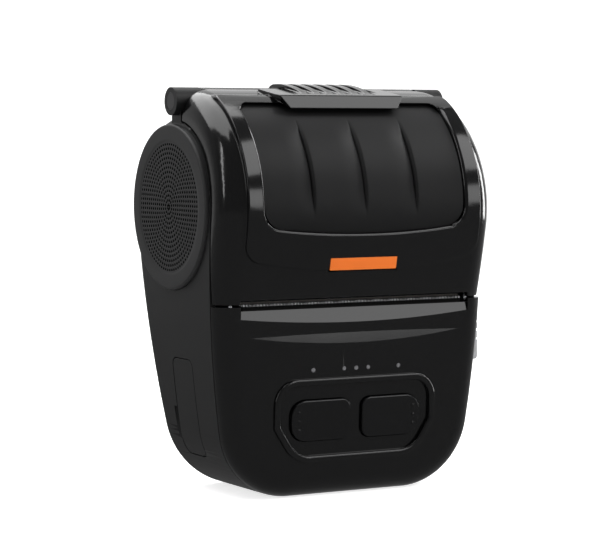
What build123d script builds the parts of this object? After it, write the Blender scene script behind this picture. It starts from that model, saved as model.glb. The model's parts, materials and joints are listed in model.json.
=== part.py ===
from build123d import *
from math import acos, atan2, cos, degrees, hypot, pi, radians, sin, sqrt, tan
import os

os.makedirs("parts", exist_ok=True)

# Portable label printer, standing upright. +X is its right side, -Y its front, +Z up, in mm.

# Paper roll, which sets the width and the depth of everything else
roll_width = 80.0
roll_radius = 25.0
roll_clearance = 0.3
bay_thickness = 0.9
bay_side_clearance = 0.6
bay_wall_thickness = 1.0
bay_seat_gap = 0.2

# Shells
wall = 2.0
cover_gap = 0.25
shell_gap = 0.1
side_room = 0.5
neck_height = 0.2
seam_inset = 1.5
disc_rim = 1.0
cover_rise = 8.5
front_lean = 12.0
panel_lean = 2.2
rear_lean = 10.0
seam_lean = 2.5
front_round = 7.0
cover_round = 8.5
rear_round = 4.5
panel_step = 0.3

# Heights of the paper slot and of the roll's axis, and the roll's place front to back
slot_z = 60.5
axis_z = 89.9
axis_y = 4.9

# Layers beside the platen, counted outward
layer_gap = 0.4
hook_thickness = 1.2
cheek_thickness = 1.2
gear_thickness = 1.6

roller_half = roll_width / 2
hook_x = roller_half + layer_gap
cheek_x = hook_x + hook_thickness + layer_gap
gear_x = cheek_x + cheek_thickness + layer_gap
gear_end = gear_x + gear_thickness
waist_half = gear_end + side_room + wall + 0.7

# Front view of the body, which narrows to a flat foot
flat_half = waist_half - 27.5
heel_half = waist_half - 18.0
heel_z = 2.0
hip_half = waist_half - 3.9
hip_z = 20.5
waist_z = 100.0
outline_top = 136.0

# Radii about the roll's axis
bay_inner_r = roll_radius + roll_clearance
bay_outer_r = bay_inner_r + bay_thickness
rear_r = bay_outer_r + bay_seat_gap + wall
seam_r = rear_r - seam_inset
disc_r = seam_r - disc_rim
cover_r = rear_r + cover_rise

# Hinge across the top
barrel_r = 4.4
barrel_half = waist_half + 0.6
pin_r = 1.5
ear_inner = waist_half - 8.9
ear_gap = 0.4
running_clearance = 0.05
press_clearance = 0.01
hinge_y = axis_y
hinge_z = axis_z + rear_r + neck_height + barrel_r
neck_half = 3.2
cap_r = 2.8
cap_thickness = 1.0
knuckle_clearance = 0.5
coil_wall = 0.9

# Side discs
disc_face = waist_half + 1.6
disc_thickness = 2.3
disc_groove = 0.5
disc_field_r = 20.6

# Cover window, raised surround, lip and ribs
plate_rise = 1.3
plate_half = waist_half - 6.8
plate_low_z = 70.3
plate_corner_z = 76.0
plate_top_z = hinge_z + 1.9
window_rise = 0.5
window_half = plate_half - 5.7
window_low_z = 82.2
window_corner_z = 84.6
window_top_z = hinge_z - 0.5
window_corner = 6.0
window_flange = 1.6
window_flange_depth = 1.0
lip_half = 19.5
lip_flare = 3.0
lip_front_y = axis_y - 23.8
lip_low_z = hinge_z - 2.3
lip_high_z = hinge_z + 1.9
rib_count = 6
rib_pitch = 4.6
rib_width = 2.4
rib_height = 1.3
pad_half = 14.6
accent_half = 12.0
accent_height = 4.0
accent_z = 73.0
accent_depth = 0.5
cover_screw_r = 1.0
cover_screw_length = 2.2
cover_screw_head = 0.8

# Platen, print head and tear bar
platen_r = 4.5
platen_above_slot = 5.9
platen_y = -17.6
shaft_r = 2.0
bushing_r = 3.2
bushing_wall = 1.2
paper_gap = 0.3
head_half = roller_half - layer_gap
head_front_y = -23.4
head_back_y = -12.6
ceramic_thickness = 1.0
sink_thickness = 4.0
head_pivot_r = 0.9
head_pivot_drop = 2.6
tear_thickness = 0.6
tear_half = roller_half - 0.5
tear_height = 8.0
tooth_pitch = 1.0
tooth_depth = 0.8
tear_top = 0.4
tear_gap = 0.15
slot_half = roller_half + 1.0
slot_up = 1.6
slot_down = 1.5
facet_depth = 0.9
facet_end_z = 56.5
facet_low_z = 54.4
crescent_half = 37.5
crescent_depth = 0.45
crescent_tip_z = 50.7
crescent_top_z = 51.2
crescent_low_z = 47.9

# Gears
gear_module = 0.6
platen_teeth = 16
idler_teeth = 30
pinion_teeth = 12
gear_backlash = 0.16
gear_addendum = 0.85
gear_dedendum = 1.15
pressure_angle = 20.0
pinion_turn = -80.0
post_r = 1.2
motor_r = 8.5
motor_length = 18.0
motor_shaft_r = 1.0

# Latch and open lever
latch_reach = 10.5
latch_r = 1.5
hook_clearance = 0.35
finger_thickness = 2.2
crank_length = 7.0
crank_angle = 14.0
crank_pin_r = 1.0
crank_pin_length = 1.3
crank_thickness = 1.2
crank_x = gear_x
latch_spring_x = 32.0
lever_width = 6.4
lever_low_z = 39.5
lever_high_z = 59.0
lever_y = -16.4
lever_travel = 3.5
lever_proud = 1.2
lever_sink = 0.9
lever_clearance = 0.3
lever_inner = 2.5
lever_plate = 1.0
lever_grip = 0.7

# Frame of the print mechanism
frame_thickness = 1.2
motor_low_z = 41.0
rail_screw = 3.2
rail_screw_head_r = 1.1
spring_r = 2.2
spring_x = 20.0
spring_length = 8.0

# Front panel: button pod, buttons and lights
pod_half = 29.0
pod_top_z = 37.3
pod_low_z = 11.0
pod_low_half = 20.0
pod_corner = 8.0
pod_low_corner = 11.0
pod_bend_corner = 18.0
pod_rim = 2.2
pod_rise = 1.0
pod_sink = 0.4
pod_round = 0.7
button_width = 21.0
button_height = 12.7
button_gap = 4.2
button_z = 24.2
button_outer_corner = 5.0
button_inner_corner = 3.0
button_rise = 0.9
button_travel = 0.8
button_clearance = 0.3
button_flange = 0.8
flange_thickness = 0.9
light_z = 39.9
light_r = 0.65
light_spread = 15.4
light_pitch = 4.35
switch_gap = 0.15
switch_side = 6.0
switch_body = 2.2
plunger_height = 0.7
board_thickness = 1.2
board_half = 31.0
board_low_z = 13.5
board_high_z = 46.0
board_post_r = 2.0

# Main board and what it carries
main_board_y = -6.0
main_board_thickness = 1.6
main_board_half = waist_half - 8.4
main_board_low_z = 8.0
main_board_high_z = 40.0
board_corner = 7.0
board_screw_length = 5.0
cable_half = 12.0
cable_thickness = 0.3
antenna_thickness = 0.8
antenna_r = 12.0
board_post_x = main_board_half - 5.8
jack_z = 25.0
usb_z = 35.5

# Interface cover on the left side
flap_front_y = -5.5
flap_back_y = 8.0
flap_low_z = 12.0
flap_high_z = 42.5
flap_thickness = 1.5
flap_gap = 0.3
flap_corner = 2.5

# Battery pack in the back
pack_half = 30.0
pack_low_z = 8.0
pack_length = 37.0
pack_depth = 15.0
pack_gap = 0.4
bay_wall = 1.4
latch_half = 7.0
latch_height = 6.0
latch_travel = 2.0
slider_inner = 2.3
contact_width = 16.0
contact_height = 6.0

# Fasteners and the carrying clip's hole
screw_r = 1.25
screw_head_r = 2.3
screw_head = 1.4
case_screw_x = 16.0
case_screw_y = -14.0
clip_hole_r = 1.65
clip_hole_length = 6.0
clip_hole_z = 58.0
clip_boss_r = 4.0

reach = 90.0


def polar(radius, angle):
    """Point at an angle from the roll's axis, in the side view, where 180 degrees is the front."""
    return (axis_y + radius * cos(radians(angle)), axis_z + radius * sin(radians(angle)))


cover_tangent = polar(cover_r, 180 + front_lean)
cover_foot_y = cover_tangent[0] + (cover_tangent[1] - slot_z) * tan(radians(front_lean))
panel_front_y = cover_foot_y - panel_step
rear_tangent = polar(rear_r, -rear_lean)
platen_z = slot_z + platen_above_slot
platen_point = (platen_y, platen_z)

# Half of the front view: flat foot, heel, hip and the long side
with BuildLine() as half_outline:
    foot_line = Line((0, 0), (flat_half, 0))
    heel_arc = TangentArc(foot_line @ 1, (heel_half, heel_z), tangent=foot_line % 1)
    hip_arc = TangentArc(heel_arc @ 1, (hip_half, hip_z), tangent=heel_arc % 1)
    side_arc = TangentArc(hip_arc @ 1, (waist_half, waist_z), tangent=hip_arc % 1)
    side_top = side_arc @ 1 + (side_arc % 1) * (outline_top - waist_z)
    Line(side_arc @ 1, side_top)
    Line(side_top, (0, side_top.Y))

side_centre = side_arc.arc_center
side_radius = side_arc.radius


def side_half(z):
    """Half width of the body at a height between the hip and the waist."""
    return side_centre.X + sqrt(side_radius ** 2 - (z - side_centre.Y) ** 2)


def side_slope(z):
    """Angle of the body's side from upright at a height, in degrees."""
    return degrees(atan2(side_centre.Y - z, side_half(z) - side_centre.X))


panel_plane = Plane(
    origin=(0, panel_front_y, slot_z),
    x_dir=(1, 0, 0),
    z_dir=(0, -cos(radians(panel_lean)), -sin(radians(panel_lean))),
)
accent_plane = Plane(
    origin=(0, cover_foot_y, slot_z),
    x_dir=(1, 0, 0),
    z_dir=(0, -cos(radians(front_lean)), -sin(radians(front_lean))),
)
rear_plane = Plane(
    origin=(0, rear_tangent[0], rear_tangent[1]),
    x_dir=(-1, 0, 0),
    z_dir=(0, cos(radians(rear_lean)), -sin(radians(rear_lean))),
)


def front_outline(inset):
    with BuildSketch(Plane.XZ) as outline:
        with BuildLine():
            add(half_outline.line)
            mirror(about=Plane.YZ)
        make_face()
        if inset:
            offset(amount=-inset)
    return outline.sketch


def front_form(inset):
    """Body prism behind the panel's leaning front face, with the front edge rounded."""
    outline = front_outline(inset)
    with BuildPart() as form:
        extrude(outline, amount=reach, both=True)
        split(bisect_by=panel_plane.offset(-inset), keep=Keep.BOTTOM)
        front_face = form.faces().sort_by(Axis.Y)[0]
        fillet(front_face.edges().sort_by(Axis.Z)[:-1], radius=front_round - inset)
    return form.part


def back_side(inset):
    """Side view of the back: straight up, round the roll, then level towards the front."""
    with BuildSketch(Plane.YZ) as side:
        with BuildLine():
            foot = (rear_tangent[0] - (rear_tangent[1] + 20) * tan(radians(rear_lean)), -20)
            Line(foot, rear_tangent)
            round_back = CenterArc((axis_y, axis_z), rear_r, -rear_lean, 90 + rear_lean)
            level = Line(round_back @ 1, (-reach, (round_back @ 1).Y))
            Line(level @ 1, (-reach, -20))
            Line((-reach, -20), foot)
        make_face()
        if inset:
            offset(amount=-inset)
    return side.sketch


def back_form(inset):
    """Body prism in front of the leaning back, with the back edge rounded."""
    outline = front_outline(inset)
    side = back_side(inset)
    with BuildPart() as form:
        extrude(outline, amount=reach, both=True)
        extrude(side, amount=reach, both=True, mode=Mode.INTERSECT)
        back_face = form.faces().filter_by(GeomType.PLANE).sort_by(Axis.Y)[-1]
        fillet(back_face.edges().sort_by(Axis.Z)[:-1], radius=rear_round - inset)
    return form.part


def base_form(inset):
    front = front_form(inset)
    back = back_form(inset)
    with BuildPart() as form:
        add(front)
        add(back, mode=Mode.INTERSECT)
    return form.part


def cover_side(inset):
    """Side view of the cover: round the roll, then straight down to the slot."""
    with BuildSketch(Plane.YZ) as side:
        with BuildLine():
            crown = CenterArc((axis_y, axis_z), cover_r, 50, 130 + front_lean)
            front = Line(crown @ 1, (cover_foot_y + 20 * tan(radians(front_lean)), slot_z - 20))
            floor_line = Line(front @ 1, ((crown @ 0).X, slot_z - 20))
            Line(floor_line @ 1, crown @ 0)
        make_face()
        if inset:
            offset(amount=-inset)
    return side.sketch


def cover_form(inset):
    outline = front_outline(inset)
    side = cover_side(inset)
    with BuildPart() as form:
        extrude(outline, amount=reach, both=True)
        extrude(side, amount=reach, both=True, mode=Mode.INTERSECT)
        front_face = form.faces().filter_by(GeomType.PLANE).sort_by(Axis.Y)[0]
        loops = front_face.edges().filter_by(Axis.X, reverse=True)
        fillet(loops, radius=cover_round - inset)
    return form.part


def front_of_seam(gap):
    """Side region of the cover and the front panel, in front of the seam by a gap."""
    radius = seam_r + gap
    start = polar(radius, 180 + seam_lean)
    low = (start[0] + (start[1] + 20) * tan(radians(seam_lean)), -20)
    with BuildSketch(Plane.YZ) as region:
        with BuildLine():
            seam = CenterArc((axis_y, axis_z), radius, 90, 90 + seam_lean)
            Polyline(seam @ 1, low, (-reach, -20), (-reach, outline_top), (axis_y, outline_top), seam @ 0)
        make_face()
    return region.sketch


def behind_seam(gap):
    """Side region of the rear housing, behind the seam by a gap."""
    radius = seam_r - gap
    start = polar(radius, 180 + seam_lean)
    low = (start[0] + (start[1] + 20) * tan(radians(seam_lean)), -20)
    with BuildSketch(Plane.YZ) as region:
        with BuildLine():
            seam = CenterArc((axis_y, axis_z), radius, 90, 90 + seam_lean)
            Polyline(seam @ 1, low, (reach, -20), (reach, outline_top), (axis_y, outline_top), seam @ 0)
        make_face()
    return region.sketch


def seam_y(z):
    """Place of the seam below the side discs at a height."""
    start = polar(seam_r, 180 + seam_lean)
    return start[0] + (start[1] - z) * tan(radians(seam_lean))


def crown_y(radius, z):
    """How far forward a round surface about the roll's axis lies at a height."""
    return axis_y - sqrt(radius ** 2 - (z - axis_z) ** 2)


def back_y(z):
    """Place of the leaning back face at a height."""
    return rear_tangent[0] - (rear_tangent[1] - z) * tan(radians(rear_lean))


def across(y, z, x=0.0):
    """Place for a round piece that lies along X."""
    return Location((x, y, z), (0, 90, 0))


def panel_up(z):
    """Distance up the front panel from the slot to a height."""
    return (z - slot_z) / cos(radians(panel_lean))


def back_up(z):
    """Distance up the leaning back from the end of its round part to a height."""
    return (z - rear_tangent[1]) / cos(radians(rear_lean))


def finish(piece, name):
    piece.label = name
    export_step(piece, "parts/" + name + ".step")


base_outer = base_form(0)
base_inner = base_form(wall)
flap_inner = base_form(flap_thickness)
cover_outer = cover_form(0)
cover_inner = cover_form(wall)
housing_region = behind_seam(cover_gap)
cover_region = front_of_seam(cover_gap)
panel_region = front_of_seam(shell_gap)

# Directions that the other pieces follow: the cover's first movement and the open lever's slide
swing_y = platen_y - hinge_y
swing_z = platen_z - hinge_z
swing = hypot(swing_y, swing_z)
exit_y = swing_z / swing
exit_z = -swing_y / swing
latch_y = platen_y - latch_reach * exit_y
latch_z = platen_z - latch_reach * exit_z
lever_z = (lever_low_z + lever_high_z) / 2
lever_slope = side_slope(lever_z)
lever_plane = Plane(
    origin=(side_half(lever_z), lever_y, lever_z),
    x_dir=(0, 1, 0),
    z_dir=(cos(radians(lever_slope)), 0, -sin(radians(lever_slope))),
)
pin_y = latch_y - crank_length * cos(radians(crank_angle))
pin_z = latch_z - crank_length * sin(radians(crank_angle))
stem_width = lever_width / 2
stem_height = 6.0

pack_low = back_up(pack_low_z)
pack_high = pack_low + pack_length
pack_middle = (pack_low + pack_high) / 2
slider_low = pack_high + 2 * pack_gap
slider_middle = slider_low + latch_height / 2
slider_stem = 2.0
slider_stem_middle = slider_low + 3.6

jack_half = 5.0
usb_half = 4.0
board_hole_low = main_board_low_z + 4.5
board_hole_high = main_board_high_z - 4.0
board_back_y = main_board_y + main_board_thickness

frame_low_z = 44.0
deck_z = platen_z - platen_r - paper_gap - ceramic_thickness - sink_thickness - spring_length
rail_y = -12.2
rail_length = 3.5
rail_height = 4.0
rail_z = frame_low_z + rail_height / 2
frame_end = cheek_x + cheek_thickness


def rounded(width, height, corner):
    """Sketch piece: a rectangle with round corners."""
    return RectangleRounded(width, height, corner)


# Rear housing: back, sides and floor in one shell, with the hinge's ears on its top
with BuildPart() as rear_housing:
    add(base_outer)
    add(base_inner, mode=Mode.SUBTRACT)
    extrude(housing_region, amount=reach, both=True, mode=Mode.INTERSECT)
    # mouth of the paper bay, open to the front and the top
    with Locations((0, axis_y, slot_z)):
        Box(
            2 * (side_half(hinge_z - barrel_r) - wall), reach, reach,
            align=(Align.CENTER, Align.MAX, Align.MIN), mode=Mode.SUBTRACT,
        )
    # ears and necks of the hinge
    neck_low = axis_z + rear_r - wall
    neck_end = side_half(axis_z + rear_r) - shell_gap
    for side in (-1, 1):
        with Locations(across(hinge_y, hinge_z, side * (ear_inner + barrel_half) / 2)):
            Cylinder(barrel_r, barrel_half - ear_inner)
        with Locations((side * (ear_inner + neck_end) / 2, hinge_y, (neck_low + hinge_z) / 2)):
            Box(neck_end - ear_inner, 2 * neck_half, hinge_z - neck_low)
        with Locations((side * (neck_end - wall / 2), hinge_y, neck_low)):
            Box(wall, 2 * neck_half, 3 * wall)
        with Locations(across(hinge_y, hinge_z, side * (barrel_half - cap_thickness / 2))):
            Cylinder(cap_r, cap_thickness, mode=Mode.SUBTRACT)
    with Locations(across(hinge_y, hinge_z)):
        Cylinder(pin_r + press_clearance, 3 * barrel_half, mode=Mode.SUBTRACT)
        Cylinder(barrel_r + knuckle_clearance, 2 * ear_inner, mode=Mode.SUBTRACT)
    # seats of the side discs
    for side in (-1, 1):
        with Locations(across(axis_y, axis_z, side * (disc_face - disc_thickness + wall))):
            Cylinder(disc_r + shell_gap, 2 * wall, mode=Mode.SUBTRACT)
    # battery bay in the back
    with BuildSketch(rear_plane.offset(-pack_depth - pack_gap - bay_wall)):
        with Locations((0, pack_middle)):
            Rectangle(2 * (pack_half + pack_gap + bay_wall), pack_length + 2 * (pack_gap + bay_wall))
    extrude(amount=pack_depth + pack_gap + bay_wall)
    with BuildSketch(rear_plane.offset(-pack_depth - pack_gap)):
        with Locations((0, pack_middle)):
            Rectangle(2 * (pack_half + pack_gap), pack_length + 2 * pack_gap)
    extrude(amount=pack_depth + pack_gap + wall, mode=Mode.SUBTRACT)
    # window for the battery contacts
    with BuildSketch(rear_plane.offset(-pack_depth - pack_gap - bay_wall - shell_gap)):
        with Locations((0, pack_middle)):
            Rectangle(contact_width + 2 * shell_gap, contact_height + 2 * shell_gap)
    extrude(amount=bay_wall + 2 * shell_gap, mode=Mode.SUBTRACT)
    # recess and slot of the battery latch
    with BuildSketch(rear_plane.offset(-lever_sink)):
        with Locations((0, slider_middle + latch_travel / 2 - pack_gap)):
            Rectangle(2 * (latch_half + pack_gap), latch_height + latch_travel + 4 * pack_gap)
    extrude(amount=wall, mode=Mode.SUBTRACT)
    with BuildSketch(rear_plane.offset(-2 * wall)):
        with Locations((0, slider_stem_middle + latch_travel / 2)):
            Rectangle(latch_half + 2 * lever_clearance, slider_stem + latch_travel + 2 * lever_clearance)
    extrude(amount=2 * wall, mode=Mode.SUBTRACT)
    # posts of the main board
    for x in (-board_post_x, board_post_x):
        for z in (board_hole_low, board_hole_high):
            post = back_y(z) - wall / 2 - board_back_y
            with Locations(Location((x, board_back_y + post / 2, z), (90, 0, 0))):
                Cylinder(board_post_r + screw_r / 2, post)
            with Locations(Location((x, board_back_y + 3, z), (90, 0, 0))):
                Cylinder(screw_r + press_clearance, 6, mode=Mode.SUBTRACT)
    # boss and thread of the carrying clip
    with BuildSketch(rear_plane.offset(-clip_hole_length - wall / 2)):
        with Locations((0, back_up(clip_hole_z))):
            Circle(clip_boss_r)
    extrude(amount=clip_hole_length + wall / 4)
    with BuildSketch(rear_plane.offset(-clip_hole_length)):
        with Locations((0, back_up(clip_hole_z))):
            Circle(clip_hole_r)
    extrude(amount=clip_hole_length + wall, mode=Mode.SUBTRACT)
    # rails that carry the print mechanism
    for side in (-1, 1):
        rail_end = side_half(frame_low_z) - wall / 2
        with Locations((side * (frame_end + rail_end) / 2, rail_y, rail_z)):
            Box(rail_end - frame_end, rail_length, rail_height)
        with Locations(across(rail_y, rail_z, side * (frame_end + 1.0))):
            Cylinder(screw_r / 2 + press_clearance, 2.0 + press_clearance, mode=Mode.SUBTRACT)
    # recess and slot of the open lever
    with BuildSketch(lever_plane.offset(-lever_sink)):
        with Locations((-lever_clearance, lever_travel / 2)):
            rounded(
                lever_width + 4 * lever_clearance,
                lever_high_z - lever_low_z + lever_travel + 2 * lever_clearance,
                lever_width / 4,
            )
    extrude(amount=2 * wall, mode=Mode.SUBTRACT)
    with BuildSketch(lever_plane.offset(-2 * wall)):
        with Locations((0, lever_travel / 2)):
            Rectangle(
                stem_width + 2 * lever_clearance, stem_height + lever_travel + 2 * lever_clearance
            )
    extrude(amount=2 * wall, mode=Mode.SUBTRACT)
    # opening for the interface cover, with a finger notch behind it
    flap_middle = ((flap_front_y + flap_back_y) / 2, (flap_low_z + flap_high_z) / 2)
    with BuildSketch(Plane.YZ.offset(-hip_half + 3 * wall)):
        with Locations(flap_middle):
            rounded(
                flap_back_y - flap_front_y + 2 * flap_gap,
                flap_high_z - flap_low_z + 2 * flap_gap,
                flap_corner + flap_gap,
            )
    extrude(amount=-4 * wall * 2, mode=Mode.SUBTRACT)
    with Locations((-side_half(hip_z) - wall / 2, flap_back_y + flap_gap, hip_z)):
        Cylinder(wall, 3 * (hip_z - flap_low_z) / 2, mode=Mode.SUBTRACT)
    # case screw holes in the floor
    for x in (-case_screw_x, case_screw_x):
        with Locations((x, case_screw_y, 0)):
            Cylinder(screw_r + shell_gap, 4 * wall, mode=Mode.SUBTRACT)
            Cylinder(screw_head_r + shell_gap, wall, mode=Mode.SUBTRACT)
finish(rear_housing.part, "rear_housing")


# Front panel: lower front shell with the button pod


def pod_outline(inset):
    """Pod outline on the panel: straight top, drawn in towards the bottom."""
    top = panel_up(pod_top_z)
    low = panel_up(pod_low_z)
    bend = low + (top - low) * 0.42

    def at_bend(corner):
        return abs(panel_plane.to_local_coords(corner.center()).Y - bend) < shell_gap

    with BuildSketch(panel_plane) as pod:
        with BuildLine():
            Polyline(
                (-pod_half, top), (-pod_half, bend), (-pod_low_half - 2, low),
                (pod_low_half + 2, low), (pod_half, bend), (pod_half, top), close=True,
            )
        make_face()
        fillet(pod.vertices().group_by(Axis.Y)[-1], radius=pod_corner)
        fillet(pod.vertices().group_by(Axis.Y)[0], radius=pod_low_corner)
        fillet(pod.vertices().filter_by(at_bend), radius=pod_bend_corner)
        if inset:
            offset(amount=-inset)
    return pod.sketch


def button_outline(side, grow):
    """Button outline: its outer corners rounder than the inner ones."""
    middle = side * (button_gap + button_width) / 2
    with BuildSketch(panel_plane) as button:
        with Locations((middle, panel_up(button_z))):
            Rectangle(button_width, button_height)
        outer = button.vertices().sort_by(Axis.X, reverse=side > 0)[:2]
        fillet(outer, radius=button_outer_corner)
        inner = button.vertices().group_by(Axis.X)[0 if side > 0 else -1]
        fillet(inner, radius=button_inner_corner)
        if grow:
            offset(amount=grow)
    return button.sketch


pod_face = pod_outline(0)
pod_well = pod_outline(pod_rim)
button_faces = {side: button_outline(side, 0) for side in (-1, 1)}
button_holes = {side: button_outline(side, button_clearance) for side in (-1, 1)}
button_flanges = {side: button_outline(side, button_flange) for side in (-1, 1)}
light_points = [(x, panel_up(light_z)) for x in (-light_spread, -light_pitch, 0, light_pitch, light_spread)]
stem_tip = wall + button_clearance + flange_thickness + button_clearance
plunger_top = stem_tip + button_travel + switch_gap
switch_top = plunger_top + plunger_height
board_front = switch_top + switch_body
board_middle = panel_up((board_low_z + board_high_z) / 2)
board_height = board_high_z - board_low_z
board_posts = [
    (x, board_middle + side * (board_height / 2 - board_post_r - shell_gap))
    for x in (-board_half + board_post_r + shell_gap, board_half - board_post_r - shell_gap)
    for side in (-1, 1)
]
tab_height = 3.0
tab_root = 2.3
tab_front_y = seam_y(0) - 3 * shell_gap - tab_root
tab_back_y = case_screw_y + 3.5

# Ridge round the buttons
with BuildPart() as pod_ridge:
    extrude(pod_face, amount=pod_rise)
    extrude(pod_well, amount=pod_rise, mode=Mode.SUBTRACT)
    fillet(pod_ridge.faces().sort_by(Axis.Y)[0].edges(), radius=pod_round)


def facet_cut(half, tip_z, low_z, high_z, straight, depth):
    """Cutter for a facet that leans back from an arc of the front panel, to a depth at its top."""
    tip, low, high = (panel_up(z) for z in (tip_z, low_z, high_z))
    low_y = panel_front_y + (slot_z - low_z) * tan(radians(panel_lean))
    with BuildPart() as cut:
        with BuildSketch(panel_plane.offset(-depth)):
            with BuildLine():
                lower = ThreePointArc((-half, tip), (0, low), (half, tip))
                if straight:
                    Polyline(lower @ 1, (half, high), (-half, high), lower @ 0)
                else:
                    ThreePointArc(lower @ 1, (0, high), lower @ 0)
            make_face()
        extrude(amount=2 * depth)
        with BuildSketch(Plane.YZ):
            with BuildLine():
                Polyline(
                    (panel_front_y - depth, low_z), (low_y, low_z), (panel_front_y + depth, high_z),
                    (panel_front_y + depth, slot_z), (panel_front_y - depth, slot_z), close=True,
                )
            make_face()
        extrude(amount=half + depth, both=True, mode=Mode.INTERSECT)
    return cut.part


slot_facet = facet_cut(slot_half, facet_end_z, facet_low_z, slot_z - slot_down, True, facet_depth)
crescent = facet_cut(crescent_half, crescent_tip_z, crescent_low_z, crescent_top_z, False, crescent_depth)

with BuildPart() as front_panel:
    add(base_outer)
    add(base_inner, mode=Mode.SUBTRACT)
    extrude(panel_region, amount=reach, both=True, mode=Mode.INTERSECT)
    split(bisect_by=Plane.XY.offset(slot_z - cover_gap), keep=Keep.BOTTOM)
    add(pod_ridge.part)
    extrude(pod_well, amount=-pod_sink, mode=Mode.SUBTRACT)
    add(slot_facet, mode=Mode.SUBTRACT)
    add(crescent, mode=Mode.SUBTRACT)
    for side in (-1, 1):
        extrude(button_holes[side], amount=3 * wall, both=True, mode=Mode.SUBTRACT)
    with BuildSketch(panel_plane.offset(-wall - wall / 2)):
        with Locations(light_points):
            Circle(light_r + running_clearance)
    extrude(amount=3 * wall, mode=Mode.SUBTRACT)
    with BuildSketch(panel_plane.offset(-board_front)):
        with Locations(board_posts):
            Circle(board_post_r)
    extrude(amount=board_front - wall / 2)
    with BuildSketch(panel_plane.offset(-board_front)):
        with Locations(board_posts):
            Circle(screw_r / 2 + press_clearance)
    extrude(amount=board_front - wall, mode=Mode.SUBTRACT)
    with Locations((0, panel_front_y, slot_z)):
        Box(2 * slot_half, 3 * wall, 2 * slot_down, mode=Mode.SUBTRACT)
    for x in (-case_screw_x, case_screw_x):
        with Locations((x, tab_front_y, wall + shell_gap)):
            Box(10, tab_back_y - tab_front_y, tab_height, align=(Align.CENTER, Align.MIN, Align.MIN))
        with Locations((x, tab_front_y, wall * 0.6)):
            Box(10, tab_root, wall, align=(Align.CENTER, Align.MIN, Align.MIN))
        with Locations((x, case_screw_y, wall)):
            Cylinder(screw_r + press_clearance, 4 * tab_height, mode=Mode.SUBTRACT)
finish(front_panel.part, "front_panel")

# Round trim on the sides: the discs over the roll, and the caps on the hinge's ends
for side, name in ((-1, "left_side_disc"), (1, "right_side_disc")):
    with BuildPart() as side_disc:
        with Locations(across(axis_y, axis_z, side * (disc_face - disc_thickness / 2))):
            Cylinder(disc_r, disc_thickness)
        fillet(side_disc.edges().sort_by(Axis.X)[0 if side < 0 else -1], radius=disc_thickness / 3)
        with BuildSketch(Plane.YZ.offset(side * (disc_face - disc_groove / 2))):
            with Locations((axis_y, axis_z)):
                Circle(disc_field_r + disc_groove)
                Circle(disc_field_r, mode=Mode.SUBTRACT)
        extrude(amount=side * disc_groove, mode=Mode.SUBTRACT)
    finish(side_disc.part, name)

for side, name in ((-1, "left_hinge_cap"), (1, "right_hinge_cap")):
    with BuildPart() as hinge_cap:
        with Locations(across(hinge_y, hinge_z, side * (barrel_half - cap_thickness / 2))):
            Cylinder(cap_r - press_clearance, cap_thickness)
    finish(hinge_cap.part, name)

# Hinge: one steel pin through both ears and the cover's knuckle, and the spring on it
coil_r = pin_r + 4 * running_clearance
coil_x = -ear_inner / 2
coil_length = 8.0
with BuildPart() as hinge_pin:
    with Locations(across(hinge_y, hinge_z)):
        Cylinder(pin_r, 2 * (barrel_half - cap_thickness))
finish(hinge_pin.part, "hinge_pin")

with BuildPart() as cover_spring:
    with Locations(across(hinge_y, hinge_z, coil_x)):
        Cylinder(coil_r + coil_wall, coil_length)
        Cylinder(coil_r, coil_length, mode=Mode.SUBTRACT)
finish(cover_spring.part, "cover_spring")


# Cover frame: upper front shell with the raised surround, the lip and the hinge's knuckle
def arched_outline(half, low_z, corner_z, top_z, low_corner, top_corner, inset=0.0, depth=0.0):
    """Front view with a bottom edge that sags in the middle, and round corners."""
    with BuildSketch(Plane.XZ.offset(-depth)) as arched:
        with BuildLine():
            bottom = ThreePointArc((-half, corner_z), (0, low_z), (half, corner_z))
            Polyline(bottom @ 1, (half, top_z), (-half, top_z), bottom @ 0)
        make_face()
        fillet(arched.vertices().group_by(Axis.Y)[-1], radius=top_corner)
        fillet(arched.vertices().group_by(Axis.Y)[0], radius=low_corner)
        if inset:
            offset(amount=-inset)
    return arched.sketch


window_top_corner = 3.0
window_shape = (window_half, window_low_z, window_corner_z, window_top_z, window_corner, window_top_corner)
plate_outline = arched_outline(
    plate_half, plate_low_z, plate_corner_z - plate_rise, plate_top_z, window_corner, plate_rise
)
window_back_y = crown_y(cover_r - wall, window_top_z)
window_hole = arched_outline(*window_shape, 0, window_back_y)
window_outline = arched_outline(*window_shape, shell_gap, window_back_y)
flange_outline = arched_outline(*window_shape, -window_flange, window_back_y + wall)
plate_side = cover_side(-plate_rise)
plate_core = cover_side(wall / 2)
window_r = cover_r + window_rise
screw_angles = (130, 192)
liner_r = cover_r - wall - window_flange_depth - 0.7
liner_thickness = 1.0
liner_screw_x = window_half + window_flange + 2.4
boss_r = 1.8


def radial_plane(angle, x, radius):
    """Plane that faces away from the roll's axis at an angle round it."""
    y, z = polar(radius, angle)
    return Plane(
        origin=(x, y, z), x_dir=(1, 0, 0), z_dir=(0, cos(radians(angle)), sin(radians(angle)))
    )


def round_slice(outer, inner, low_angle, sweep, half_width):
    """Curved wall about the roll's axis, between two radii and over an angle."""
    with BuildPart() as piece:
        with BuildSketch(Plane.YZ):
            with BuildLine():
                outside = CenterArc((axis_y, axis_z), outer, low_angle, sweep)
                inside = CenterArc((axis_y, axis_z), inner, low_angle, sweep)
                Line(outside @ 0, inside @ 0)
                Line(outside @ 1, inside @ 1)
            make_face()
        extrude(amount=half_width, both=True)
    return piece.part


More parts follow.
